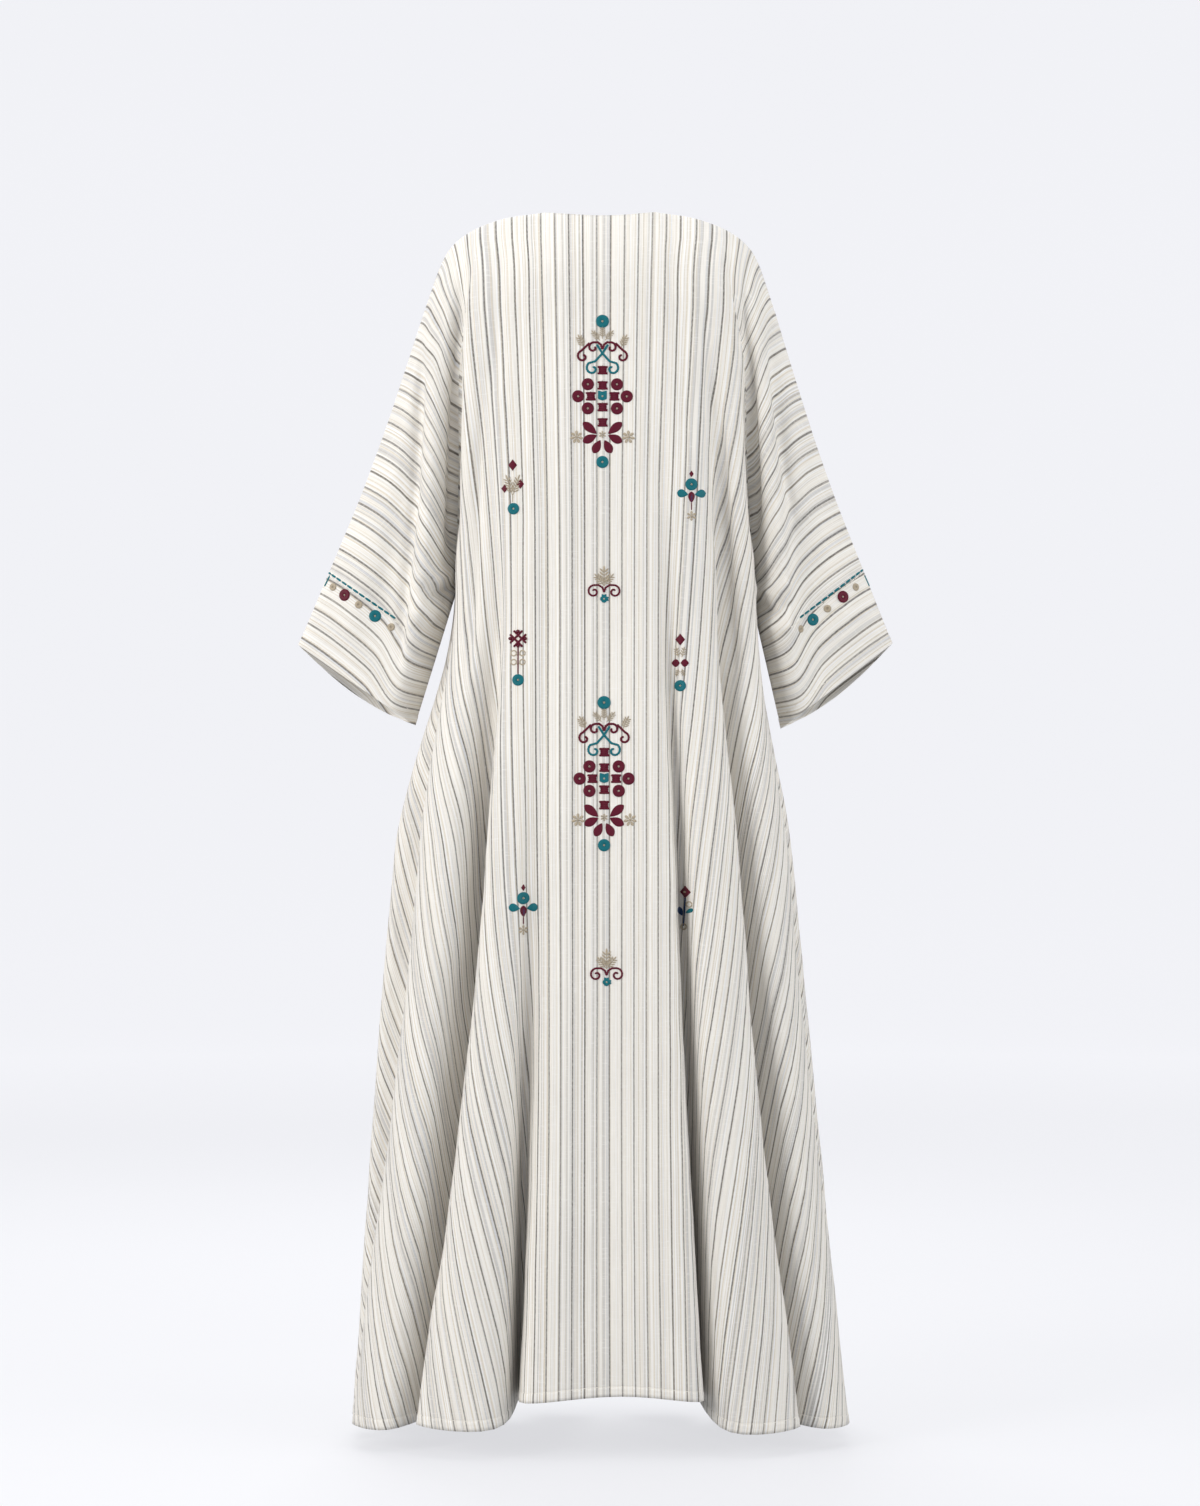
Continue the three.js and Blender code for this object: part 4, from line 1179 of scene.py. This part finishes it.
class Spot:
    """A flat place on the cloth with its own directions."""

    def __init__(self, stitches, point, normal, forward):
        self.stitches, self.point, self.normal = stitches, point, normal
        self.right = forward.normalized()
        self.up = normal.cross(self.right).normalized()

    def __call__(self, x, y, height):
        return tuple(self.point + self.right * x + self.up * y + self.normal * height)


def cuff_band(stitches, tree, facing, side):
    running_stitch(stitches, "teal", cuff_line(tree, facing, side, CUFF_BAND["teal"]),
                   CUFF_BAND["stitch"], CUFF_BAND["gap"], CUFF_BAND["width"], 1.0, BAND_END)
    running_stitch(stitches, "seam", cuff_line(tree, facing, side, CUFF_BAND["pale"]),
                   CUFF_BAND["stitch"], CUFF_BAND["gap"] / 2, 1.5, 5.0, BAND_END + 20)
    found = cuff_line(tree, facing, side, CUFF_BAND["rounds"])
    run = run_along(found)
    satin_shape(Spot(stitches, *at_run(found, run, 4)), "teal", 0, 2, 15, 2.4, 90, "bar")
    for colour, place in CUFF_ROUNDS[side]:
        if place + 8 <= run[-1]:
            spot = Spot(stitches, *at_run(found, run, place))
            satin_disc(spot, colour, 0, 0, ROUND_SIZE[colour])


def hem_line(panel, tree):
    """The body's points at the hem's stitching, pressed on to the cloth."""
    row = panel.body[len(panel.body) - len(HEM_ROWS) + HEM_ROWS.index(HEM + STITCH_ABOVE_EDGE)]
    return [tree.find_nearest(Vector(point))[:2] for point in row]


FRONT_OF = {1: "front_left", -1: "front_right"}
SEWING = (3.4, 1.6, 0.8)   # stitch, gap and width

linen = linen_material()
cloths = {}
for panel in PANELS:
    piece, surface = make_cloth(panel, linen)
    cloths[panel.name] = surface
    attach(piece, "root")
    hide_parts(panel.name)

embroidery = Stitchery()
for motif, x, z in MOTIFS:
    motif(Ground(embroidery, cloths["back"], 1, (x, z)))
for side, front in FRONT_OF.items():
    cuff_band(embroidery, cloths["back"], 1, side)
    cuff_band(embroidery, cloths[front], -1, side)
embroidery.make_objects("embroidery")

sewing = Stitchery()
for panel in PANELS:
    running_stitch(sewing, "seam", hem_line(panel, cloths[panel.name]), *SEWING)
for side, front in FRONT_OF.items():
    for name, facing in (("back", 1), (front, -1)):
        running_stitch(sewing, "seam", cuff_line(cloths[name], facing, side, STITCH_ABOVE_EDGE), *SEWING)
sewing.make_objects("sewing")


# Camera at the photograph's angle: level, behind the wearer, 5.5 m away
DISTANCE = 5.5
CAMERA_HEIGHT = -0.68
FRAME_HEIGHT = 1.898       # what the picture's height spans at the garment
camera_data = bpy.data.cameras.new("camera")
camera_data.sensor_fit = "VERTICAL"
camera_data.sensor_height = 24
camera_data.lens = camera_data.sensor_height * DISTANCE / FRAME_HEIGHT
camera = bpy.data.objects.new("camera", camera_data)
camera.location = (0, DISTANCE, CAMERA_HEIGHT)
camera.rotation_euler = (math.pi / 2, 0, math.pi)
bpy.context.scene.collection.objects.link(camera)
bpy.context.scene.camera = camera

FLOOR = -1.538
FLOOR_RADIUS, WALL_RADIUS, WALL_TOP = 7.0, 9.5, 2.6


def make_studio():
    """A pale floor that bends up into a wall all round, with a soft glow of its own."""
    bend = WALL_RADIUS - FLOOR_RADIUS
    angles = [math.pi / 2 * k / 16 for k in range(1, 17)]
    profile = [(2.0, FLOOR), (4.5, FLOOR), (FLOOR_RADIUS, FLOOR)]
    profile += [(FLOOR_RADIUS + bend * math.sin(a), FLOOR + bend * (1 - math.cos(a))) for a in angles]
    profile.append((WALL_RADIUS, WALL_TOP))
    bm = bmesh.new()
    count = 96
    rings = []
    for radius, z in profile:
        rings.append([bm.verts.new((radius * math.cos(a), radius * math.sin(a), z))
                      for a in (2 * math.pi * k / count for k in range(count))])
    middle = bm.verts.new((0, 0, FLOOR))
    for k in range(count):
        bm.faces.new((middle, rings[0][k], rings[0][(k + 1) % count]))
    for low, high in zip(rings, rings[1:]):
        for k in range(count):
            bm.faces.new((low[k], high[k], high[(k + 1) % count], low[(k + 1) % count]))
    mesh = bpy.data.meshes.new("studio")
    bm.to_mesh(mesh)
    bm.free()
    mesh.polygons.foreach_set("use_smooth", [True] * len(mesh.polygons))
    studio = bpy.data.objects.new("studio", mesh)
    bpy.context.scene.collection.objects.link(studio)
    studio.visible_diffuse = False
    look = Shading("studio_white")
    place = look.node("TexCoord").outputs["Object"]
    look.drive("Base Color", look.mix(look.noise(place, 0.6, 2.0), (0.15, 0.151, 0.154, 1),
                                      (0.17, 0.171, 0.174, 1)))
    flat = look.node("VectorMath", [(0, place), (1, (1, 1, 0))], operation="MULTIPLY").outputs[0]
    radius = look.node("VectorMath", [(0, flat)], operation="LENGTH").outputs["Value"]
    look.drive("Emission Strength", look.ranged(radius, 1.0, 8.0, 0.66, 0.79))
    look.set(Emission_Color=(0.985, 0.99, 1.03, 1), Roughness=0.75)
    mesh.materials.append(look.material)


make_studio()


def area_light(name, place, target, size, power, colour=(1, 1, 1)):
    data = bpy.data.lights.new(name, "AREA")
    data.shape = "RECTANGLE"
    data.size, data.size_y = size
    data.energy = power
    data.color = colour
    lamp = bpy.data.objects.new(name, data)
    lamp.location = place
    lamp.rotation_euler = (Vector(target) - Vector(place)).to_track_quat("-Z", "Y").to_euler()
    lamp.visible_camera = False
    bpy.context.scene.collection.objects.link(lamp)


area_light("key", (3.1, 2.9, 0.5), (0, 0, -0.9), (1.8, 2.4), 100, (1.0, 0.985, 0.97))
area_light("fill", (-3.0, 2.9, 0.0), (0, 0, -0.9), (2.2, 2.4), 54, (0.97, 0.985, 1.0))
area_light("left", (4.2, 1.1, 0.2), (0, 0.1, -1.15), (1.6, 1.6), 50, (1.0, 0.985, 0.965))
area_light("right", (-4.2, 1.1, 0.2), (0, 0.1, -1.15), (1.6, 1.6), 46, (1.0, 0.985, 0.965))
area_light("front", (0.5, -2.6, 1.2), (0, 0, -0.7), (2.0, 1.8), 52)
area_light("overhead", (0, 0.2, 2.3), (0, 0, -1), (2.6, 2.6), 36)

world = bpy.data.worlds.new("studio")
world.use_nodes = True
background = world.node_tree.nodes["Background"]
background.inputs[0].default_value = (0.93, 0.95, 1.0, 1)
background.inputs[1].default_value = 0.42
bpy.context.scene.world = world
bpy.context.scene.view_settings.view_transform = "Standard"
